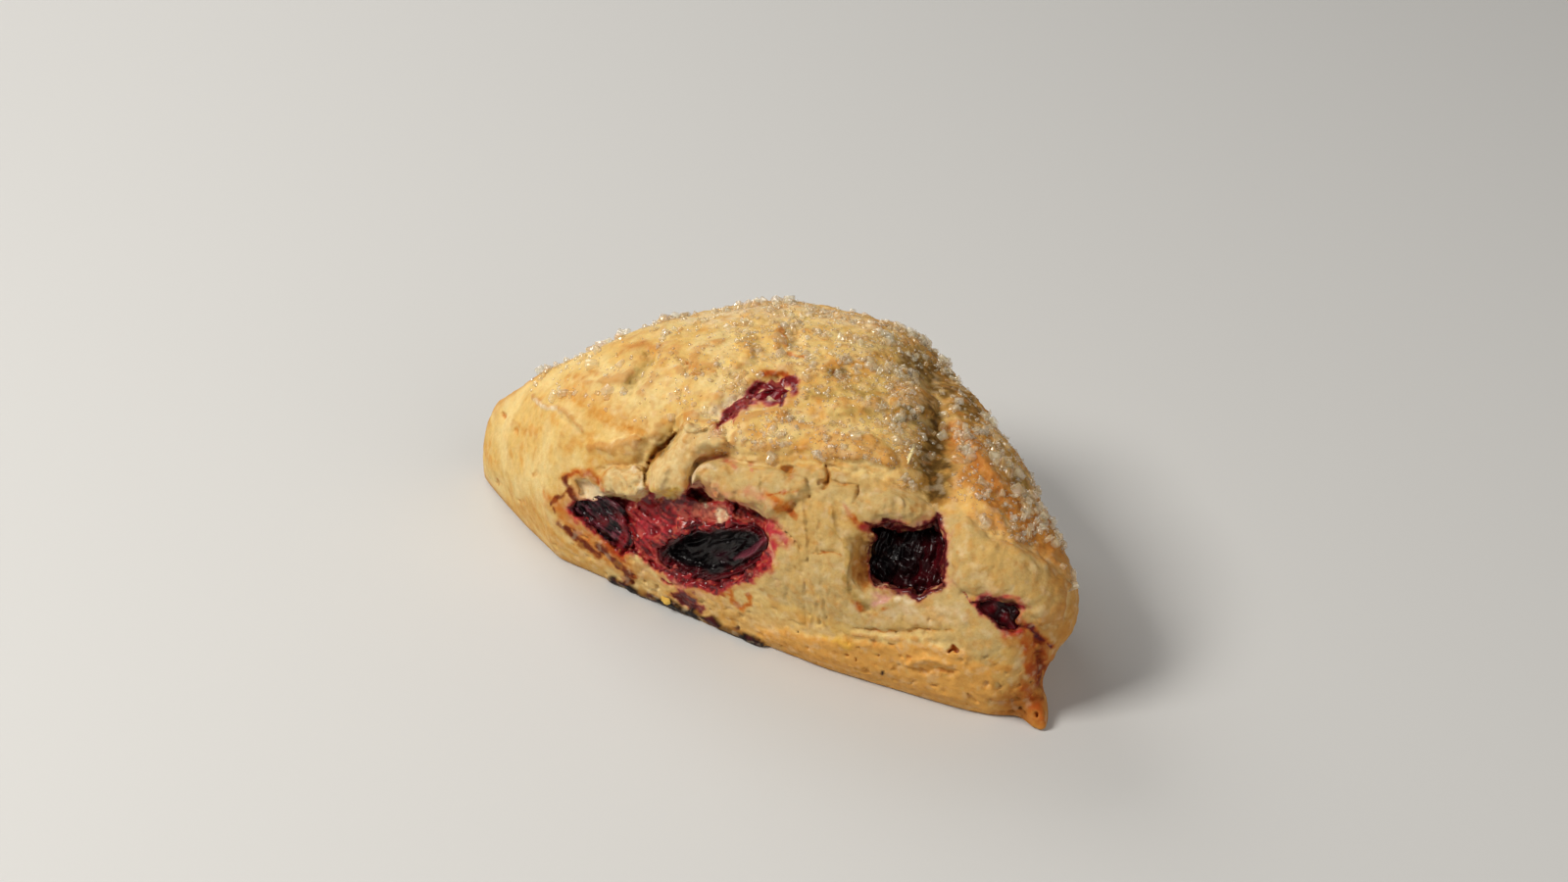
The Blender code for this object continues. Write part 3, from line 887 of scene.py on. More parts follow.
    ([(744, 528), (756, 527), (768, 531)], 2.2, PINK, 0.6, 2.4, 0.8, 0.4),
    ([(665, 508), (672, 512)], 3.5, PINK, 0.7, 4, 1, 0.3),
    # The next two marks are partly wine juice and partly painted shade, in the recesses under the
    # lip.
    ([(750, 514), (766, 522), (778, 528)], 4, WINE, 0.8, 4, 1.5, 0.6),
    ([(696, 510), (704, 503), (714, 498)], 5, WINE, 0.95, 4, 1, 0.5),
    ([(588, 512), (612, 510), (640, 512)], 3, WINE, 0.9, 3, 1.4, 0.6),
    ([(585, 514), (600, 532), (622, 552), (648, 562)], 4, WINE, 0.9, 4, 1.6, 0.6),
    ([(652, 511), (661, 503), (666, 507)], 2.4, CRIMSON, 0.9, 2.4, 0.6, 0.5),
    ([(668, 568), (680, 584), (700, 594), (730, 600), (760, 590), (782, 576)],
     [4, 6, 8, 7, 6, 6], CRIMSON, 0.95, 5, 2.2, 0.6),
    ([(676, 580), (700, 591), (736, 594), (768, 584)], 3.4, WINE, 0.9, 4, 1.5, 0.7),
    ([(690, 596), (696, 600)], 4.5, PINK, 0.7, 5, 1.5, 0.4),
    ([(692, 606), (700, 612), (712, 622)], [6, 8, 6], WINE, 0.9, 5, 2, 0.6),
    ([(716, 600), (728, 606), (737, 600)], 4.5, CRIMSON, 0.8, 4, 2, 0.5),
    ([(730, 598), (737, 606)], 4, RUST, 0.7, 4, 1.5, 0.4),
    ([(774, 582), (786, 580)], 4, CRIMSON, 0.8, 4, 1.5, 0.5),
    ([(744, 604), (748, 615), (757, 622), (766, 616), (762, 608)], 4.4, ORANGE, 0.95, 4.4, 1.2,
     None),
    # The right pocket, the corner's slit and the streak of burnt juice below it.
    (CRATER, None, WINE, 1.0, 3, 0.8, 0.6),
    ([(930, 606), (937, 614), (950, 604)], 4, WINE, 0.95, 3, 1.4, 0.5),
    (HEART, None, WINE, 1.0, 2.4, 1, 0.7),
    (HEART, None, CRIMSON, 0.3, 9, 2, 0.6),
    ([(1026, 610), (1040, 612), (1043, 624)], 4, ROSE, 0.75, 4, 1.5, None),
    (HEART_TAIL, [0.8, 1.6, 2.6], CRIMSON, 0.95, 1.8, 0.5, 0.5),
    (SEAM, [8, 8, 8, 7], RUST, 0.6, 8, 2, None),
    (SEAM, [4.5, 4.5, 4, 3], WINE, 0.95, 4.5, 1.6, 0.4),
    ([(1030, 642), (1046, 650), (1060, 662), (1070, 668)], 7, RUST, 0.75, 8, 2, 0.3),
    ([(1040, 648), (1062, 656), (1076, 668), (1070, 692), (1066, 710), (1050, 700), (1038, 676)],
     None, RUST, 0.9, 8, 2, 0.15),
    ([(1058, 660), (1062, 676), (1058, 700)], 9, BURNT, 0.55, 9, 1.6, 0.2),
    ([(1026, 696), (1046, 688), (1066, 698), (1076, 730), (1068, 752), (1040, 746), (1008, 728)],
     None, BROWN, 0.95, 14, 3, 0.1),
    ([(1044, 704), (1058, 720), (1062, 736)], 12, RUST, 0.6, 12, 2, 0.1),
    ([(1060, 700), (1064, 712)], 5, BURNT, 0.6, 6, 1, 0.2),
    # The tear on the top.
    ([(716, 420), (742, 400), (770, 386), (800, 398), (790, 410), (750, 418), (734, 430)], None,
     WHITISH, 0.85, 9, 2, None),
    ([(728, 440), (740, 428), (752, 416), (776, 407), (800, 412)], 8, PINK, 0.35, 8, 3, None),
    ([(730, 436), (742, 424), (754, 414), (768, 409), (784, 408), (802, 412)],
     [5, 8, 6, 4.5, 4, 3], JAM, 0.95, 4, 1.6, 0.45),
    ([(764, 404), (774, 394), (784, 395)], 7.5, JAM, 0.95, 5, 1.6, 0.45),
    ([(778, 382), (792, 380), (800, 385)], 5, RUST, 0.9, 5, 1.4, None),
    ([(786, 404), (796, 392), (806, 389), (812, 395)], 8, JAM, 0.95, 5, 2, 0.45),
    ([(780, 404), (794, 406)], 4, WHITISH, 0.6, 4, 1.4, 0.3),
    ([(798, 414), (801, 404)], 3.4, WINE, 0.9, 3, 0.8, 0.5),
    # The next two marks are painted shade in the crack between the left bulge and the flap.
    (CRACK, [3, 8, 10, 7, 4, 3], OLIVE_SHADE, 0.85, 8, 1, None),
    (CRACK, [2, 4, 5, 4, 2.4, 2], DEEP_BROWN_SHADE, 0.9, 4, 0.6, None),
)

# Size and seed of the crust's patches, its spots and its fine grain.
CRUST_GRAINS = ((9, 21), (4, 24), (1.6, 27))

# How wet the juice along the foot is.
FOOT_SHINE = 0.28


def crust_layers(clay, points, normals, patches, spotted, fine):
    """The colours of the baked crust, and how strongly each covers the ones before it."""
    x, y, z = points.T
    up = normals[:, 2]
    top = top_share(points)
    ridge = clay.read(clay.blurred(1.5), points)
    broad_ridge = clay.read(clay.blurred(2.8), points)
    torn = smoothstep(1.2, 2.4, -loaf_at(points) + 0.3 * noise(points, 3, 19))
    # The foot of the sides, the right end and the back are baked browner.
    foot = (1 - smoothstep(3, 13, z + 2.5 * noise(points, 8, 31))) * smoothstep(-34, 10, x)
    right = smoothstep(24, 52, x + 0.5 * (y + 10)) * smoothstep(20, 30, z)
    back = smoothstep(2, 18, y - 0.1 * z + 4 * patches)
    frost = smoothstep(0.3, 0.8, up) * smoothstep(-10, 8, y + 0.3 * x) * smoothstep(24, 34, z)
    return (
        (PALE, 0.85 * smoothstep(-0.25, 0.35, patches)),
        (AMBER, 0.7 * smoothstep(0.05, 0.45, spotted) * smoothstep(-0.1, 0.3, -patches)),
        (AMBER, (0.10 + 0.1 * top) * smoothstep(-0.1, 0.5, spotted + 0.5 * fine)),
        (BASE_BROWN, 0.6 * foot),
        (BASE_BROWN, 0.55 * right),
        (BROWN, 0.5 * right * smoothstep(-0.1, 0.4, spotted)),
        (BROWN, 0.6 * smoothstep(50, 62, x + 0.35 * (y + 14) + 3 * spotted)),
        (BASE_BROWN, 0.45 * back),
        (BROWN, 0.35 * back * smoothstep(0.0, 0.6, spotted)),
        (FROST, 0.45 * frost * smoothstep(-0.4, 0.2, spotted)),
        (BROWN, 0.55 * smoothstep(0.06, 0.34, ridge + 0.35 * broad_ridge) * (1 - torn)),
        (CREAM, 0.55 * smoothstep(0.05, 0.34, -ridge)),
        (PALE, 0.8 * torn),
        (UNDERSIDE, smoothstep(0.5, 0.9, -up) * (1 - smoothstep(0.4, 1.6, z))),
    )


def paint_marks(tint, wet, spots, points, facing):
    """Lays the marks over the crust's colour and wetness, in their order."""
    patchy = 0.78 + rough_noise(points, 1.4, 34, gain=0.6)
    for number, (pixels, width, colour, strength, soft, ragged, shine) in enumerate(MARKS):
        near, share = marked(spots, pixels, width, soft, 1.8 * ragged + 0.8, points, 2.6,
                             40 + number)
        share = np.clip(share * strength * facing[near] * (patchy[near] + 0.4 * share), 0, 1)
        blend = soak if colour[1] < SOAKING_GREEN else mix
        tint[near] = blend(tint[near], colour, share)
        if shine is not None:
            wet[near] += (shine - wet[near]) * share


def paint_dough(clay, points, normals):
    """Colour and wetness of each point of the dough."""
    spots = wandering_pixels(points)
    facing = np.clip(clay.read(clay.facing, points), 0, 1)
    patches, spotted, fine = (rough_noise(points, *grain) for grain in CRUST_GRAINS)
    tint = coat(GOLD, points)
    for colour, share in crust_layers(clay, points, normals, patches, spotted, fine):
        tint = mix(tint, colour, share)
    wet = 0.06 + 0.18 * top_share(points) * smoothstep(-0.3, 0.3, spotted)
    paint_marks(tint, wet, spots, points, facing)
    # The dry parts of the torn front side are sandy in patches.
    near, share = marked(spots, INNER, None, 12, 3, points, 2.2, 37)
    sandy = smoothstep(0.05, 0.4, patches[near]) * share * facing[near]
    tint[near] = mix(tint[near], SANDY, 0.55 * sandy * (1 - smoothstep(0.3, 0.5, wet[near])))
    # Pulp is patchy, from wine to rose.
    pulp = smoothstep(0.5, 0.9, (wet - 0.2) * 3)
    strands = streaks(spots, 3.2, 18, 40, 78) + 0.6 * fine
    flesh = rough_noise(points, 2.4, 29) - strands
    tint = mix(tint, WINE, 0.9 * pulp * smoothstep(-0.1, 0.25, strands))
    tint = mix(tint, PINK, 0.3 * pulp * smoothstep(0.3, 0.6, flesh))
    # The dark set juice along the foot, with wine red spots.
    near, share = foot_juice(spots, points, 6, 2.9, 2.0, 1.2)
    share = share * smoothstep(0.0, 0.3, facing[near])
    tint[near] = mix(tint[near], CHAR, share)
    tint[near] = mix(tint[near], WINE, 0.7 * share * smoothstep(0.1, 0.4, spotted[near]))
    wet[near] += (FOOT_SHINE - wet[near]) * share
    # Fine mottling of the dry crust, faint on the smooth left cheek.
    dry = (1 - smoothstep(0.25, 0.4, wet)) * (1 - 0.6 * cheek_share(points))
    tint = mix(tint, AMBER, 0.35 * dry * smoothstep(0.1, 0.5, rough_noise(points, 2.8, 91)))
    tint = mix(tint, WHITISH, 0.25 * dry * smoothstep(0.15, 0.5, rough_noise(points, 2.0, 95)))
    tint = mix(tint, BROWN, 0.25 * dry * smoothstep(0.34, 0.5, noise(points, 1.3, 33)))
    tint *= (1 + 0.09 * fine)[:, None]
    return np.clip(tint, 0, 1), np.clip(wet, 0, 1)


# ----------------------------------------
# Meshes and materials
# ----------------------------------------


def mesh_object(name, points, faces, smooth=True):
    """An object from points in millimetres and faces of one size."""
    mesh = bpy.data.meshes.new(name)
    sides = faces.shape[1]
    mesh.vertices.add(len(points))
    mesh.vertices.foreach_set("co", (points * MM).astype(np.float32).ravel())
    mesh.loops.add(faces.size)
    mesh.loops.foreach_set("vertex_index", faces.astype(np.int32).ravel())
    mesh.polygons.add(len(faces))
    mesh.polygons.foreach_set("loop_start", np.arange(0, faces.size, sides, dtype=np.int32))
    mesh.polygons.foreach_set("loop_total", np.full(len(faces), sides, dtype=np.int32))
    mesh.update(calc_edges=True)
    mesh.validate()
    if smooth:
        mesh.shade_smooth()
    piece = bpy.data.objects.new(name, mesh)
    bpy.context.scene.collection.objects.link(piece)
    return piece


def point_normals(points, faces):
    """Unit normals of the points of a mesh of four-sided faces."""
    a, b, c, d = (points[faces[:, i]] for i in range(4))
    slant = np.cross(c - a, d - b)
    total = np.zeros_like(points)
    for i in range(4):
        for axis in range(3):
            total[:, axis] += np.bincount(faces[:, i], slant[:, axis], len(points))
    return total / np.maximum(np.linalg.norm(total, axis=1), 1e-9)[:, None]


def store_tint(piece, colours):
    """Keeps the colour of each point where the materials read it."""
    layer = piece.data.color_attributes.new("tint", "FLOAT_COLOR", "POINT")
    full = np.concatenate([colours, np.ones((len(colours), 1))], axis=1).astype(np.float32)
    layer.data.foreach_set("color", full.ravel())


class Nodes:
    """Short ways to build a material's nodes."""

    def __init__(self, name):
        self.material = bpy.data.materials.new(name)
        self.material.use_nodes = True
        self.tree = self.material.node_tree
        self.shader = self.tree.nodes["Principled BSDF"]

    def add(self, kind, settings=None, **inputs):
        """A new node with its settings, and its inputs set or joined."""
        node = self.tree.nodes.new(kind)
        for key, value in (settings or {}).items():
            setattr(node, key, value)
        self.fill(node, inputs)
        return node

    def fill(self, node, inputs):
        """Sets or joins a node's inputs, by their names."""
        for key, value in inputs.items():
            self.join(node.inputs[key.replace("_", " ")], value)

    def join(self, socket, value):
        """Joins a socket to another node's output, or gives it a plain value."""
        if isinstance(value, bpy.types.NodeSocket):
            self.tree.links.new(value, socket)
        else:
            socket.default_value = value

    def set(self, **inputs):
        """Sets or joins the inputs of the material's shader."""
        self.fill(self.shader, inputs)

    def tint(self):
        """The painted colour."""
        return self.add("ShaderNodeVertexColor", {"layer_name": "tint"}).outputs["Color"]

    def grain(self, size, detail, roughness=0.5):
        """A noise of the given size in millimetres, read in object space."""
        place = self.add("ShaderNodeTexCoord").outputs["Object"]
        return self.add("ShaderNodeTexNoise", Vector=place, Scale=1 / (size * MM), Detail=detail,
                        Roughness=roughness).outputs["Fac"]

    def spread(self, value, low, high, start, end):
        return self.add("ShaderNodeMapRange", Value=value, From_Min=low, From_Max=high,
                        To_Min=start, To_Max=end).outputs["Result"]

    def darken(self, share, shade, colour):
        """A shade multiplied by a colour, as strongly as the share says."""
        node = self.add("ShaderNodeMix", {"data_type": "RGBA", "blend_type": "MULTIPLY"})
        for socket, value in zip((0, 6, 7), (share, shade, colour)):
            self.join(node.inputs[socket], value)
        return node.outputs[2]

    def bump(self, height, distance, strength, normal=None):
        """A bump of the given height in millimetres, over another bump if there is one."""
        inputs = {"Height": height, "Distance": distance * MM, "Strength": strength}
        if normal is not None:
            inputs["Normal"] = normal
        return self.add("ShaderNodeBump", **inputs).outputs["Normal"]


def dough_material():
    """Baked dough: painted crust with fine mottling, dry except where juice wets it."""
    nodes = Nodes("baked dough")
    tint = nodes.tint()
    wet = nodes.add("ShaderNodeAttribute", {"attribute_name": "wet"}).outputs["Fac"]
    freckles = nodes.spread(nodes.grain(1.5, 4.0, 0.65), 0.48, 0.68, 0.0, 0.35)
    shade = nodes.darken(freckles, tint, (0.90, 0.70, 0.42, 1))
    specks = nodes.spread(nodes.grain(0.5, 4.0, 0.7), 0.5, 0.7, 0.0, 0.35)
    shade = nodes.darken(specks, shade, (0.80, 0.62, 0.42, 1))
    glaze = nodes.spread(wet, 0.2, 0.8, 0.0, 0.9)
    crumb = nodes.bump(nodes.grain(1.3, 5.0, 0.7), 0.28, 0.8)
    crumb = nodes.bump(nodes.grain(0.4, 3.0, 0.6), 0.08, 0.9, crumb)
    nodes.set(Base_Color=shade, Roughness=0.6, Normal=crumb, Specular_IOR_Level=0.12)
    nodes.set(Coat_Weight=glaze, Coat_Roughness=0.12)
    nodes.set(Subsurface_Weight=0.08, Subsurface_Scale=0.001, Subsurface_Radius=(1.0, 0.5, 0.25))
    return nodes.material


def berry_material():
    """Cooked berry skin: nearly black, dark red where it thins, wet and wrinkled."""
    nodes = Nodes("cooked berry")
    tint = nodes.tint()
    rough = nodes.spread(nodes.grain(1.1, 3.0), 0.35, 0.65, 0.08, 0.22)
    skin = nodes.bump(nodes.grain(0.7, 4.0, 0.6), 0.16, 0.8)
    nodes.set(Base_Color=tint, Roughness=rough, Normal=skin, Specular_IOR_Level=0.24)
    return nodes.material


def sugar_material(name, alpha):
    """Coarse sugar: clear crystals, some of them tinged with caramel, with bright facets."""
    nodes = Nodes(name)
    nodes.set(Base_Color=nodes.tint(), Roughness=0.06, Alpha=alpha, IOR=1.55)
    nodes.set(Specular_IOR_Level=0.5, Coat_Weight=1.0, Coat_Roughness=0.06, Coat_IOR=2.2)
    nodes.set(Subsurface_Weight=0.7, Subsurface_Scale=0.002, Subsurface_Radius=(1.0, 0.9, 0.75))
    return nodes.material


def crumb_material():
    """Loose dry crumbs."""
    nodes = Nodes("dry crumb")
    tint = nodes.tint()
    crumb = nodes.bump(nodes.grain(0.5, 3.0), 0.15, 0.8)
    nodes.set(Base_Color=tint, Roughness=0.7, Normal=crumb, Specular_IOR_Level=0.2)
    return nodes.material


# ----------------------------------------
# Pieces
# ----------------------------------------


def finish_piece(piece, material, slot, *nodes):
    """Gives a piece its material and lets it ride with the object, in place of CAD nodes."""
    piece.data.materials.append(material)
    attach(piece, "root")
    if nodes:
        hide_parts(*nodes)


def make_dough(clay):
    """The sculpted and painted dough; returns its points, faces and normals for the sugar."""
    points, faces = clay.mesh()
    normals = point_normals(points, faces)
    tint, wet = paint_dough(clay, points, normals)
    dough = mesh_object("dough_crust", points, faces)
    store_tint(dough, tint)
    layer = dough.data.attributes.new("wet", "FLOAT", "POINT")
    layer.data.foreach_set("value", wet.astype(np.float32))
    finish_piece(dough, dough_material(), "baked_dough", "dough")
    return points, faces, normals


def ball(subdivisions):
    """The points and faces of a ball of radius one."""
    shape = bmesh.new()
    bmesh.ops.create_icosphere(shape, subdivisions=subdivisions, radius=1.0)
    points = np.array([v.co for v in shape.verts])
    faces = np.array([[v.index for v in f.verts] for f in shape.faces])
    shape.free()
    return points, faces


def berry_pose(node):
    """The middle, axes and half sizes of a CAD berry in millimetres, from its own points."""
    points = np.array([v.co for v in node.data.vertices]) / MM
    middle = (points.max(axis=0) + points.min(axis=0)) / 2
    _, axes = np.linalg.eigh(np.cov((points - points.mean(axis=0)).T))
    axes = axes[:, ::-1]
    across = (points - middle) @ axes
    half = (across.max(axis=0) - across.min(axis=0)) / 2
    return middle + axes @ ((across.max(axis=0) + across.min(axis=0)) / 2), axes, half


BLACK = paint(11, 6, 8)
PLUM = paint(46, 12, 22)
GARNET = paint(84, 12, 20)
MAUVE = paint(132, 62, 76)

# The pale fold at the big berry's right end: its ridge, and its colour a little wider.
FOLD_RIDGE = ([(750, 570), (766, 564), (784, 548)], [3, 5, 4], 4, 1.5)
FOLD_TINT = ([(750, 570), (768, 562), (786, 546)], [3, 6, 5], 5, 2)

# The right berry's beads, in pixels: columns, rows, the shift of every second row, how far a bead
# may be out of line, and half sizes across and down.
BEAD_COLUMNS = range(876, 980, 12)
BEAD_ROWS = range(518, 624, 15)
BEAD_SHIFT = 5
BEAD_STRAY = 4
BEAD_SIZE = (7, 11)


def folds(spots, points, size, seed):
    """Sharp crinkles, from 0 in the hollows to 1 on the folds' crests."""
    bend = 9 * noise_pair(points, 4, seed)
    return 1 - 2.4 * np.abs(streaks(spots + bend, size, 3 * size, 152, seed + 2))


def lens_skin(spots, points):
    """The big cooked berry: collapsed, with glossy crinkles that run along it."""
    gap = outline_distance(spots, LENS_BERRY)
    height = 0.45 * folds(spots, points, 7, 51) + 0.3 * folds(spots, points, 4, 54)
    height += noise_sum(points, [(0.4, 2.6, 57), (0.15, 1.1, 58)])
    height -= 0.3 + 1.9 * smoothstep(3, 15, -gap)
    rings = np.sin(0.6 * gap + 2.6 * noise(points, 5, 59))
    height += 0.35 * rings * smoothstep(-16, -4, gap)
    near, band = marked(spots, *FOLD_RIDGE, points)
    height[near] += 0.9 * band
    tint = coat(BLACK, points)
    tint = mix(tint, GARNET, 0.9 * smoothstep(-9, -1, gap + 5 * noise(points, 2.5, 55)))
    tint = mix(tint, PLUM, 0.5 * smoothstep(0.2, 0.6, noise(points, 3, 56)))
    near, band = marked(spots, *FOLD_TINT, points)
    tint[near] = mix(tint[near], MAUVE, 0.7 * band)
    return height, tint


def beaded_skin(spots, points):
    """The right berry: close-set beads in upright columns."""
    random = np.random.default_rng(5)
    beads = [(column + (number % 2) * BEAD_SHIFT, row) for column in BEAD_COLUMNS
             for number, row in enumerate(BEAD_ROWS)]
    beads = np.array(beads) + random.uniform(-BEAD_STRAY, BEAD_STRAY, (len(beads), 2))
    gap = np.full(len(points), np.inf)
    for bead in beads:
        gap = np.minimum(gap, np.hypot(*((spots - bead) / BEAD_SIZE).T))
    dome = np.sqrt(np.clip(1 - gap**2, 0, 1))
    height = dome - 0.6 + noise_sum(points, [(0.7, 2.4, 57), (0.25, 1.0, 58)])
    height += 2.2 * smoothstep(940, 966, spots[:, 0]) + 0.6 * streaks(spots, 4, 22, 110, 67)
    tint = coat(BLACK, points)
    red = smoothstep(926, 968, spots[:, 0] + 0.7 * (spots[:, 1] - 560) + 16 * noise(points, 4, 59))
    tint = mix(tint, GARNET, 0.85 * red * (1 - 0.7 * dome))
    tint = mix(tint, GARNET, 0.3 * smoothstep(0.1, 0.5, noise(points, 2.0, 60)) * (1 - dome))
    return height, tint


def stringy_skin(spots, points):
    """The left berry: torn into strands that run down to the right."""
    strands = streaks(spots, 3.0, 20, 40, 61)
    cross = streaks(spots, 4.0, 8, 115, 62)
    height = 0.7 * strands + 0.6 * cross + 0.4 * noise(points, 2.2, 63) - 0.2
    lower = smoothstep(520, 556, spots[:, 1] + 0.3 * (spots[:, 0] - 600))
    tint = coat(PLUM, points)
    # Painted shade: the hollows between the strands are painted black; their crests are mauve,
    # partly the skin's colour and partly painted highlight.
    tint = mix(tint, BLACK, 0.9 * smoothstep(0.1, -0.2, strands + 0.6 * cross))
    tint = mix(tint, MAUVE, (0.3 + 0.4 * lower) * smoothstep(0.1, 0.4, strands + 0.3 * cross))
    tint = mix(tint, CRIMSON, 0.6 * lower * smoothstep(-0.2, 0.3, noise(points, 2.5, 66)))
    return height, tint


def pulpy_skin(_, points):
    """The corner's berry: wet dark red pulp."""
    lumps = noise(points, 1.8, 64)
    height = 0.6 * lumps + 0.25 * noise(points, 0.9, 65)
    # Painted shade: the hollows between the lumps are painted black.
    return height, mix(coat(GARNET, points), BLACK, 0.85 * smoothstep(-0.25, 0.25, -lumps))


def jammy_skin(spots, points):
    """The top's berry: dark jam with the same lumps."""
    height, _ = pulpy_skin(spots, points)
    # Painted shade: the hollows between the lumps are painted wine dark.
    return height, mix(coat(JAM, points), WINE, smoothstep(-0.1, 0.3, -height))


# The berries: node, skin, outline of the opening, depth under the crust in millimetres, and how
# often the ball that they start from is divided.
BERRIES = (
    ("berry_centre", lens_skin, LENS_BERRY, 1.5, 6),
    ("berry_right", beaded_skin, CRATER, 4.6, 6),
    ("berry_left", stringy_skin, LEFT_BERRY, 1.1, 5),
    ("berry_corner", pulpy_skin, HEART, 1.4, 5),
    ("berry_top", jammy_skin, CREVICE, 1.3, 5),
)

# How far a berry's skin may be pressed in or drawn out and how much deeper it lies behind the
# crust, in millimetres, and the rounds and the caution with which its depth is found.
LONGEST_PRESS = 7
COVERED_DEPTH = 2.2
PRESS_ROUNDS = 6
PRESS_CAUTION = 0.85


def make_berry(name, node, material, skin, outline, depth, divisions):
    """A cooked berry at the CAD berry's place, with its own kind of skin.

    The side that shows in the dough's opening is pressed to a depth under the crust.
    """
    middle, axes, half = berry_pose(node)
    unit, faces = ball(divisions)
    points = middle + (unit * half) @ axes.T
    outward = (unit / half) @ axes.T
    outward /= np.linalg.norm(outward, axis=1)[:, None]
    spots = pixels_of(points)
    height, tint = skin(spots, points)
    back = -view_axes()[3]
    shown = smoothstep(0.02, 0.3, outward @ back)
    covered = smoothstep(1, 7, outline_distance(spots, outline))
    travel = np.zeros(len(points))
    for _ in range(PRESS_ROUNDS):
        level = loaf_at(points + back * travel[:, None]) + depth + COVERED_DEPTH * covered
        travel -= (level - height) / PRESS_CAUTION
    travel = np.clip(travel, -LONGEST_PRESS, LONGEST_PRESS * (1 - covered))
    points = points + back * (travel * shown)[:, None] + outward * (height * (1 - shown))[:, None]
    berry = mesh_object(f"{name}_skin", points, faces)
    store_tint(berry, tint)
    finish_piece(berry, material, "cooked_berry", name)


# ----------------------------------------
# Sugar
# ----------------------------------------


def crystal_shapes(count, seed, bevelled):
    """Uneven sugar crystals about two units long, as lists of points, and their faces."""
    random = np.random.default_rng(seed)
    shapes, faces = [], None
    for _ in range(count):
        shape = bmesh.new()
        bmesh.ops.create_cube(shape, size=2.0)
        for corner in shape.verts:
            corner.co *= Vector(random.uniform(0.72, 1.05, 3))
        if bevelled:
            bmesh.ops.bevel(shape, geom=list(shape.edges), offset=random.uniform(0.10, 0.24),
                            segments=1, affect="EDGES")
        bmesh.ops.triangulate(shape, faces=list(shape.faces))
        shape.verts.ensure_lookup_table()
        shapes.append(np.array([v.co for v in shape.verts]))
        faces = np.array([[v.index for v in f.verts] for f in shape.faces])
        shape.free()
    return shapes, faces


CLEAR_SUGAR = paint(253, 234, 194)
CARAMEL_SUGAR = paint(232, 172, 90)

# The sugar's pieces: name, where it lies, material, number of crystals, their smallest and
# largest length in millimetres, how deep they are sunk as a share of that, and seed.
SUGAR = (
    ("large_crystals", "large", "clear sugar", 170, (1.3, 2.9), 0.28, 71),
    ("coarse_crystals", "coarse", "clear sugar", 560, (0.9, 1.9), 0.28, 72),
    ("medium_crystals", "fine", "frosted sugar", 1200, (0.5, 1.0), 0.2, 73),
    ("fine_crystals", "fine", "frosted sugar", 1800, (0.25, 0.5), 0.2, 74),
)
ALPHAS = {"clear sugar": 0.32, "frosted sugar": 0.3}

# How many shapes of crystal a piece has, the largest crystals without bevelled edges, and how far
# sugar may stand above the CAD's crown, in millimetres.
CRYSTAL_SHAPES = 16
LARGEST_PLAIN = 1.0
SUGAR_HEADROOM = 1.2

# Clusters of large crystals: pixels and width.
CLUSTERS = (
    ([(1002, 534), (1024, 540), (1048, 550), (1064, 556), (1078, 552)], 7),
    ([(1082, 572), (1092, 594)], 6),
    ([(1020, 470), (1040, 500), (1062, 530)], 12),
    ([(914, 432), (938, 434)], 8),
    ([(914, 486), (930, 486)], 8),
    ([(848, 462), (872, 446)], 7),
    ([(910, 458), (916, 470)], 5),
    ([(866, 342), (876, 346)], 5),
    ([(900, 344), (920, 354), (908, 350)], 9),
    ([(960, 430), (972, 450), (990, 462)], 10),
    ([(552, 380), (580, 364), (610, 352), (640, 338), (668, 326), (700, 320)], 7),
    ([(752, 312), (790, 306), (822, 306), (850, 308), (880, 320)], 6),
    ([(906, 330), (930, 338), (952, 354), (966, 376)], 9),
    ([(640, 402), (600, 400), (560, 404)], 5),
    ([(776, 470), (800, 456), (796, 448)], 4),
)


def sugar_weights(clay, points, normals):
    """How thickly each kind of sugar lies at each point of the crust, from 0 to 1."""
    z = points[:, 2]
    spots = pixels_of(points)
    facing = np.clip(clay.read(clay.facing, points), 0, 1)
    seen = 1 - smoothstep(-7, 2, outline_distance(spots, SUGARED) + 5 * noise(points, 6, 61))
    hidden = smoothstep(22, 33, z + 3 * noise(points, 6, 66)) * smoothstep(0.1, 0.5, normals[:, 2])
    base = facing * seen + (1 - facing) * hidden
    for outline in (CREVICE, CRACK):
        base = base * smoothstep(1, 8, outline_distance(spots, outline))
    base = base * (0.05 + 0.95 * smoothstep(10, 24, line_distance(spots, VALLEY_LINE)))
    base = base * (-loaf_at(points) < 1.5)
    clumps = smoothstep(-0.35, 0.3, noise(points, 6, 62))
    right = smoothstep(600, 900, spots[:, 0]) * facing + (1 - facing)
    fine = base * (0.08 + 0.92 * right) * (0.4 + 0.6 * clumps)
    coarse = base * (0.12 + 0.88 * right**1.5) * clumps**1.5
    # The large crystals lie in clusters, with a few more among the coarse ones.
    large = 0.08 * coarse
    for pixels, width in CLUSTERS:
        near, share = marked(spots, pixels, width, width, 2, points)
        large[near] = np.maximum(large[near], share * np.clip(5 * facing[near], 0, 1))
    return {"fine": fine, "coarse": coarse, "large": large}


def scatter(points, faces, normals, weight, count, random):
    """Random places on the surface, and its normals there, thicker where the weight is high."""
    a, b, c, d = (points[faces[:, i]] for i in range(4))
    area = np.linalg.norm(np.cross(c - a, d - b), axis=1) / 2
    chance = area * weight[faces].mean(axis=1)
    picked = random.choice(len(faces), count, p=chance / chance.sum())
    u, v = random.uniform(0, 1, (2, count, 1))
    low = points[faces[picked, 0]] * (1 - u) + points[faces[picked, 1]] * u
    high = points[faces[picked, 3]] * (1 - u) + points[faces[picked, 2]] * u
    return low * (1 - v) + high * v, normals[faces[picked, 0]]


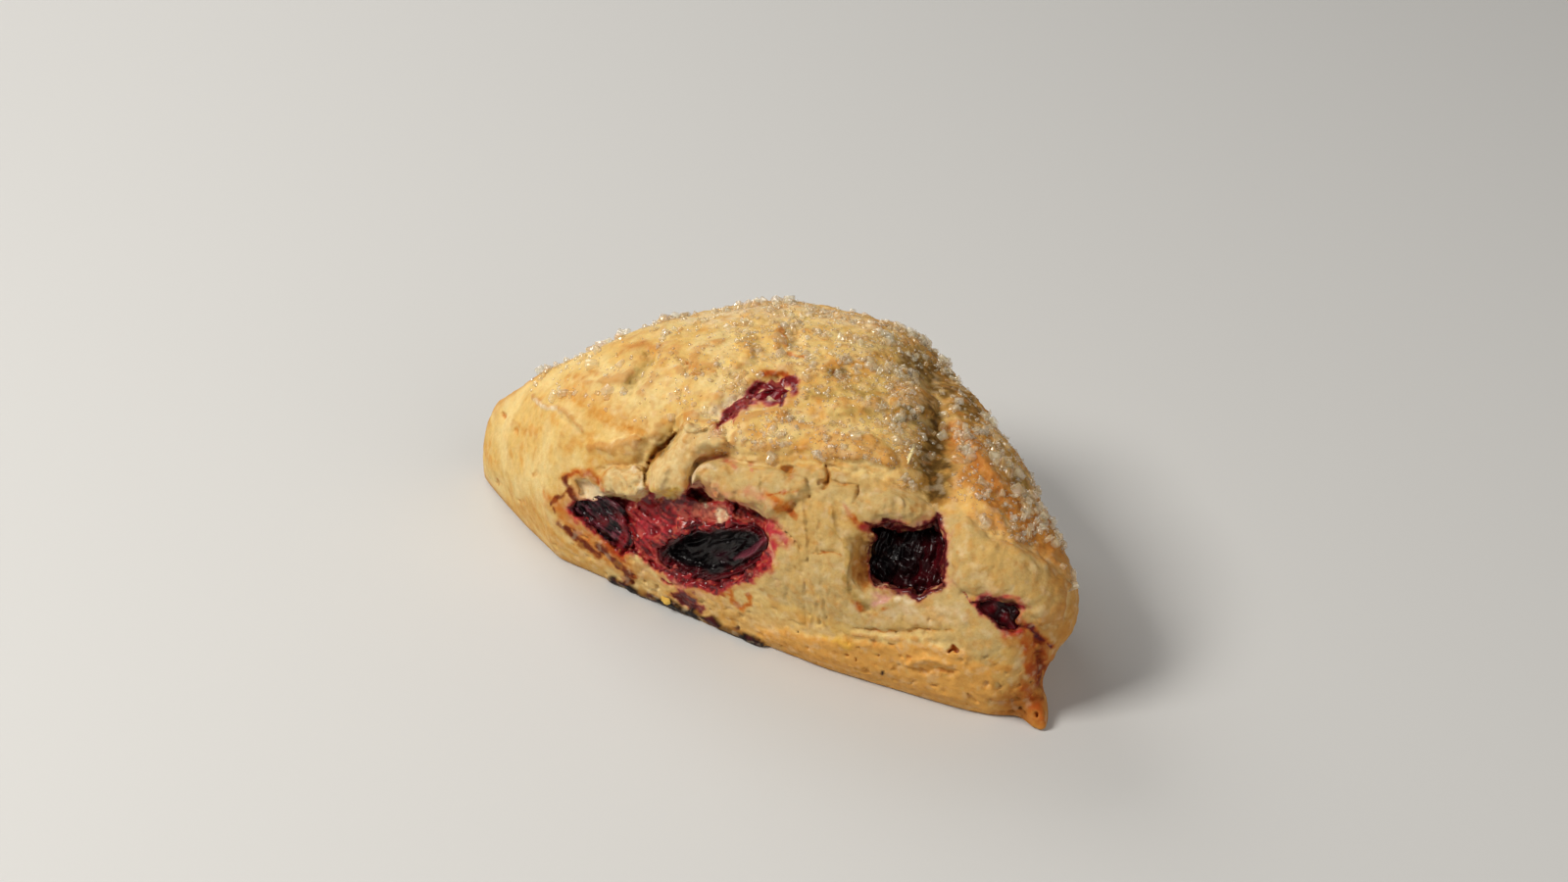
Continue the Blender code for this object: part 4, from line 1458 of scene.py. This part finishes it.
def random_turns(count, random):
    """Rotation matrices, evenly spread."""
    quaternion = random.normal(size=(count, 4))
    quaternion /= np.linalg.norm(quaternion, axis=1)[:, None]
    w, x, y, z = quaternion.T
    return np.stack(
        [
            np.stack([1 - 2 * (y * y + z * z), 2 * (x * y - z * w), 2 * (x * z + y * w)], -1),
            np.stack([2 * (x * y + z * w), 1 - 2 * (x * x + z * z), 2 * (y * z - x * w)], -1),
            np.stack([2 * (x * z - y * w), 2 * (y * z + x * w), 1 - 2 * (x * x + y * y)], -1),
        ],
        axis=1,
    )


def make_sugar(name, surface, weight, material, count, sizes, sunk, seed):
    """One piece of many crystals, with lengths from the smaller to the larger size."""
    random = np.random.default_rng(seed)
    places, outward = scatter(*surface, weight, count, random)
    shapes, faces = crystal_shapes(CRYSTAL_SHAPES, seed, bevelled=sizes[1] > LARGEST_PLAIN)
    kinds = random.integers(0, len(shapes), count)
    length = random.uniform(sizes[0] ** 0.5, sizes[1] ** 0.5, count) ** 2
    shares = np.stack([np.ones(count), random.uniform(0.55, 0.95, count),
                       random.uniform(0.4, 0.8, count)], axis=1)
    half = length[:, None] * shares / 2
    turns = random_turns(count, random)
    shape = np.stack(shapes)[kinds] * half[:, None, :]
    body = np.einsum("nij,nkj->nki", turns, shape)
    body += (places + outward * length[:, None] * (0.25 - sunk))[:, None, :]
    # The whole scone, sugar included, stays within the CAD's height and a little more.
    body = body[body[:, :, 2].max(axis=1) < CROWN_HEIGHT + SUGAR_HEADROOM]
    index = faces[None] + (np.arange(len(body)) * shapes[0].shape[0])[:, None, None]
    sugar = mesh_object(name, body.reshape(-1, 3), index.reshape(-1, 3), smooth=False)
    caramel = random.uniform(0, 1, (len(body), 1, 1)) ** 1.5
    tint = CLEAR_SUGAR + (CARAMEL_SUGAR - CLEAR_SUGAR) * caramel
    store_tint(sugar, np.repeat(tint, body.shape[1], axis=1).reshape(-1, 3))
    finish_piece(sugar, material, "baked_dough")


def strew_sugar(clay, surface):
    """All the sugar, one piece for each size."""
    points, _, normals = surface
    weights = sugar_weights(clay, points, normals)
    materials = {name: sugar_material(name, alpha) for name, alpha in ALPHAS.items()}
    for name, weight, material, *numbers in SUGAR:
        make_sugar(name, surface, weights[weight], materials[material], *numbers)


# Loose crumbs: the pixels of their two ends, their thickness in millimetres and their colour.
CRUMBS = (
    ((933, 453), (926, 472), 0.8, (236, 218, 158)),
    ((676, 611), (683, 615), 1.2, (212, 172, 80)),
)


def strew_crumbs(clay):
    """The pale sliver on the top and the yellow crumb at the foot, lying on the dough."""
    unit, faces = ball(3)
    bodies, indices, colours = [], [], []
    for number, (first, last, thick, levels) in enumerate(CRUMBS):
        start, end = on_crust(clay, first), on_crust(clay, last)
        length = np.linalg.norm(end - start)
        along = (end - start) / length
        across = np.cross(along, view_axes()[3])
        across /= np.linalg.norm(across)
        axes = np.stack([along, across, np.cross(along, across)])
        half = np.array([length / 2 + 0.2 * thick, thick / 2, thick / 2])
        body = (unit * half * (1 + 0.5 * noise(unit, 0.8, 90 + number))[:, None]) @ axes
        bodies.append(body + (start + end) / 2 - view_axes()[3] * 0.25 * thick)
        indices.append(faces + number * len(unit))
        colours.append(coat(paint(*levels), unit))
    crumbs = mesh_object("loose_crumbs", np.concatenate(bodies), np.concatenate(indices))
    store_tint(crumbs, np.concatenate(colours))
    finish_piece(crumbs, crumb_material(), "baked_dough")


# ----------------------------------------
# Stage
# ----------------------------------------


# The square floor, in metres, and the plain light of the room.
FLOOR_HALF = 3.0
FLOOR_COLOUR = (0.60, 0.60, 0.59, 1)
ROOM_COLOUR = (1.0, 0.98, 0.95, 1)
ROOM_STRENGTH = 0.14

# Lights: azimuth and elevation, distance and size in metres, watts and colour.
LIGHTS = {
    "key": (-35, 48, 0.8, 0.28, 5.2, (1.0, 0.96, 0.90)),
    "fill": (75, 35, 0.9, 0.6, 2.1, (1.0, 0.97, 0.93)),
    "back": (245, 35, 0.9, 0.5, 3.0, (1.0, 0.97, 0.93)),
}


def place_camera():
    """The camera in the photograph's view."""
    place, right, up, forward = view_axes()
    data = bpy.data.cameras.new("camera")
    data.lens = LENS
    data.sensor_width = SENSOR
    data.clip_start = 0.01
    camera = bpy.data.objects.new("camera", data)
    bpy.context.scene.collection.objects.link(camera)
    turn = Matrix([right, up, -forward]).transposed().to_4x4()
    camera.matrix_world = Matrix.Translation(Vector(place * MM)) @ turn
    bpy.context.scene.camera = camera


def area_light(name, azimuth, elevation, distance, size, watts, colour):
    """A soft square light that faces the scone, by the direction in which it stands."""
    away = Vector(direction(azimuth, elevation))
    data = bpy.data.lights.new(name, "AREA")
    data.size = size
    data.energy = watts
    data.color = colour
    light = bpy.data.objects.new(name, data)
    light.location = away * distance
    light.rotation_euler = away.to_track_quat("Z", "Y").to_euler()
    bpy.context.scene.collection.objects.link(light)


def build_stage():
    """A plain pale floor under soft studio light."""
    mesh = bpy.data.meshes.new("floor")
    corners = [(x * FLOOR_HALF, y * FLOOR_HALF, 0) for x, y in ((-1, -1), (1, -1), (1, 1), (-1, 1))]
    mesh.from_pydata(corners, [], [(0, 1, 2, 3)])
    floor = bpy.data.objects.new("floor", mesh)
    bpy.context.scene.collection.objects.link(floor)
    nodes = Nodes("floor")
    nodes.set(Base_Color=FLOOR_COLOUR, Roughness=0.9)
    floor.data.materials.append(nodes.material)
    world = bpy.data.worlds.new("studio")
    world.use_nodes = True
    background = world.node_tree.nodes["Background"]
    background.inputs["Color"].default_value = ROOM_COLOUR
    background.inputs["Strength"].default_value = ROOM_STRENGTH
    bpy.context.scene.world = world
    for name, numbers in LIGHTS.items():
        area_light(name, *numbers)
    bpy.context.scene.view_settings.view_transform = "Standard"


def main():
    """Builds the stage, the dough, its berries, the sugar and the crumbs."""
    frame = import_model()
    place_camera()
    build_stage()
    clay = sculpt()
    surface = make_dough(clay)
    skin = berry_material()
    for name, look, outline, depth, divisions in BERRIES:
        divisions -= 0
        make_berry(name, frame["nodes"][name], skin, look, outline, depth, divisions)
    strew_sugar(clay, surface)
    strew_crumbs(clay)


main()
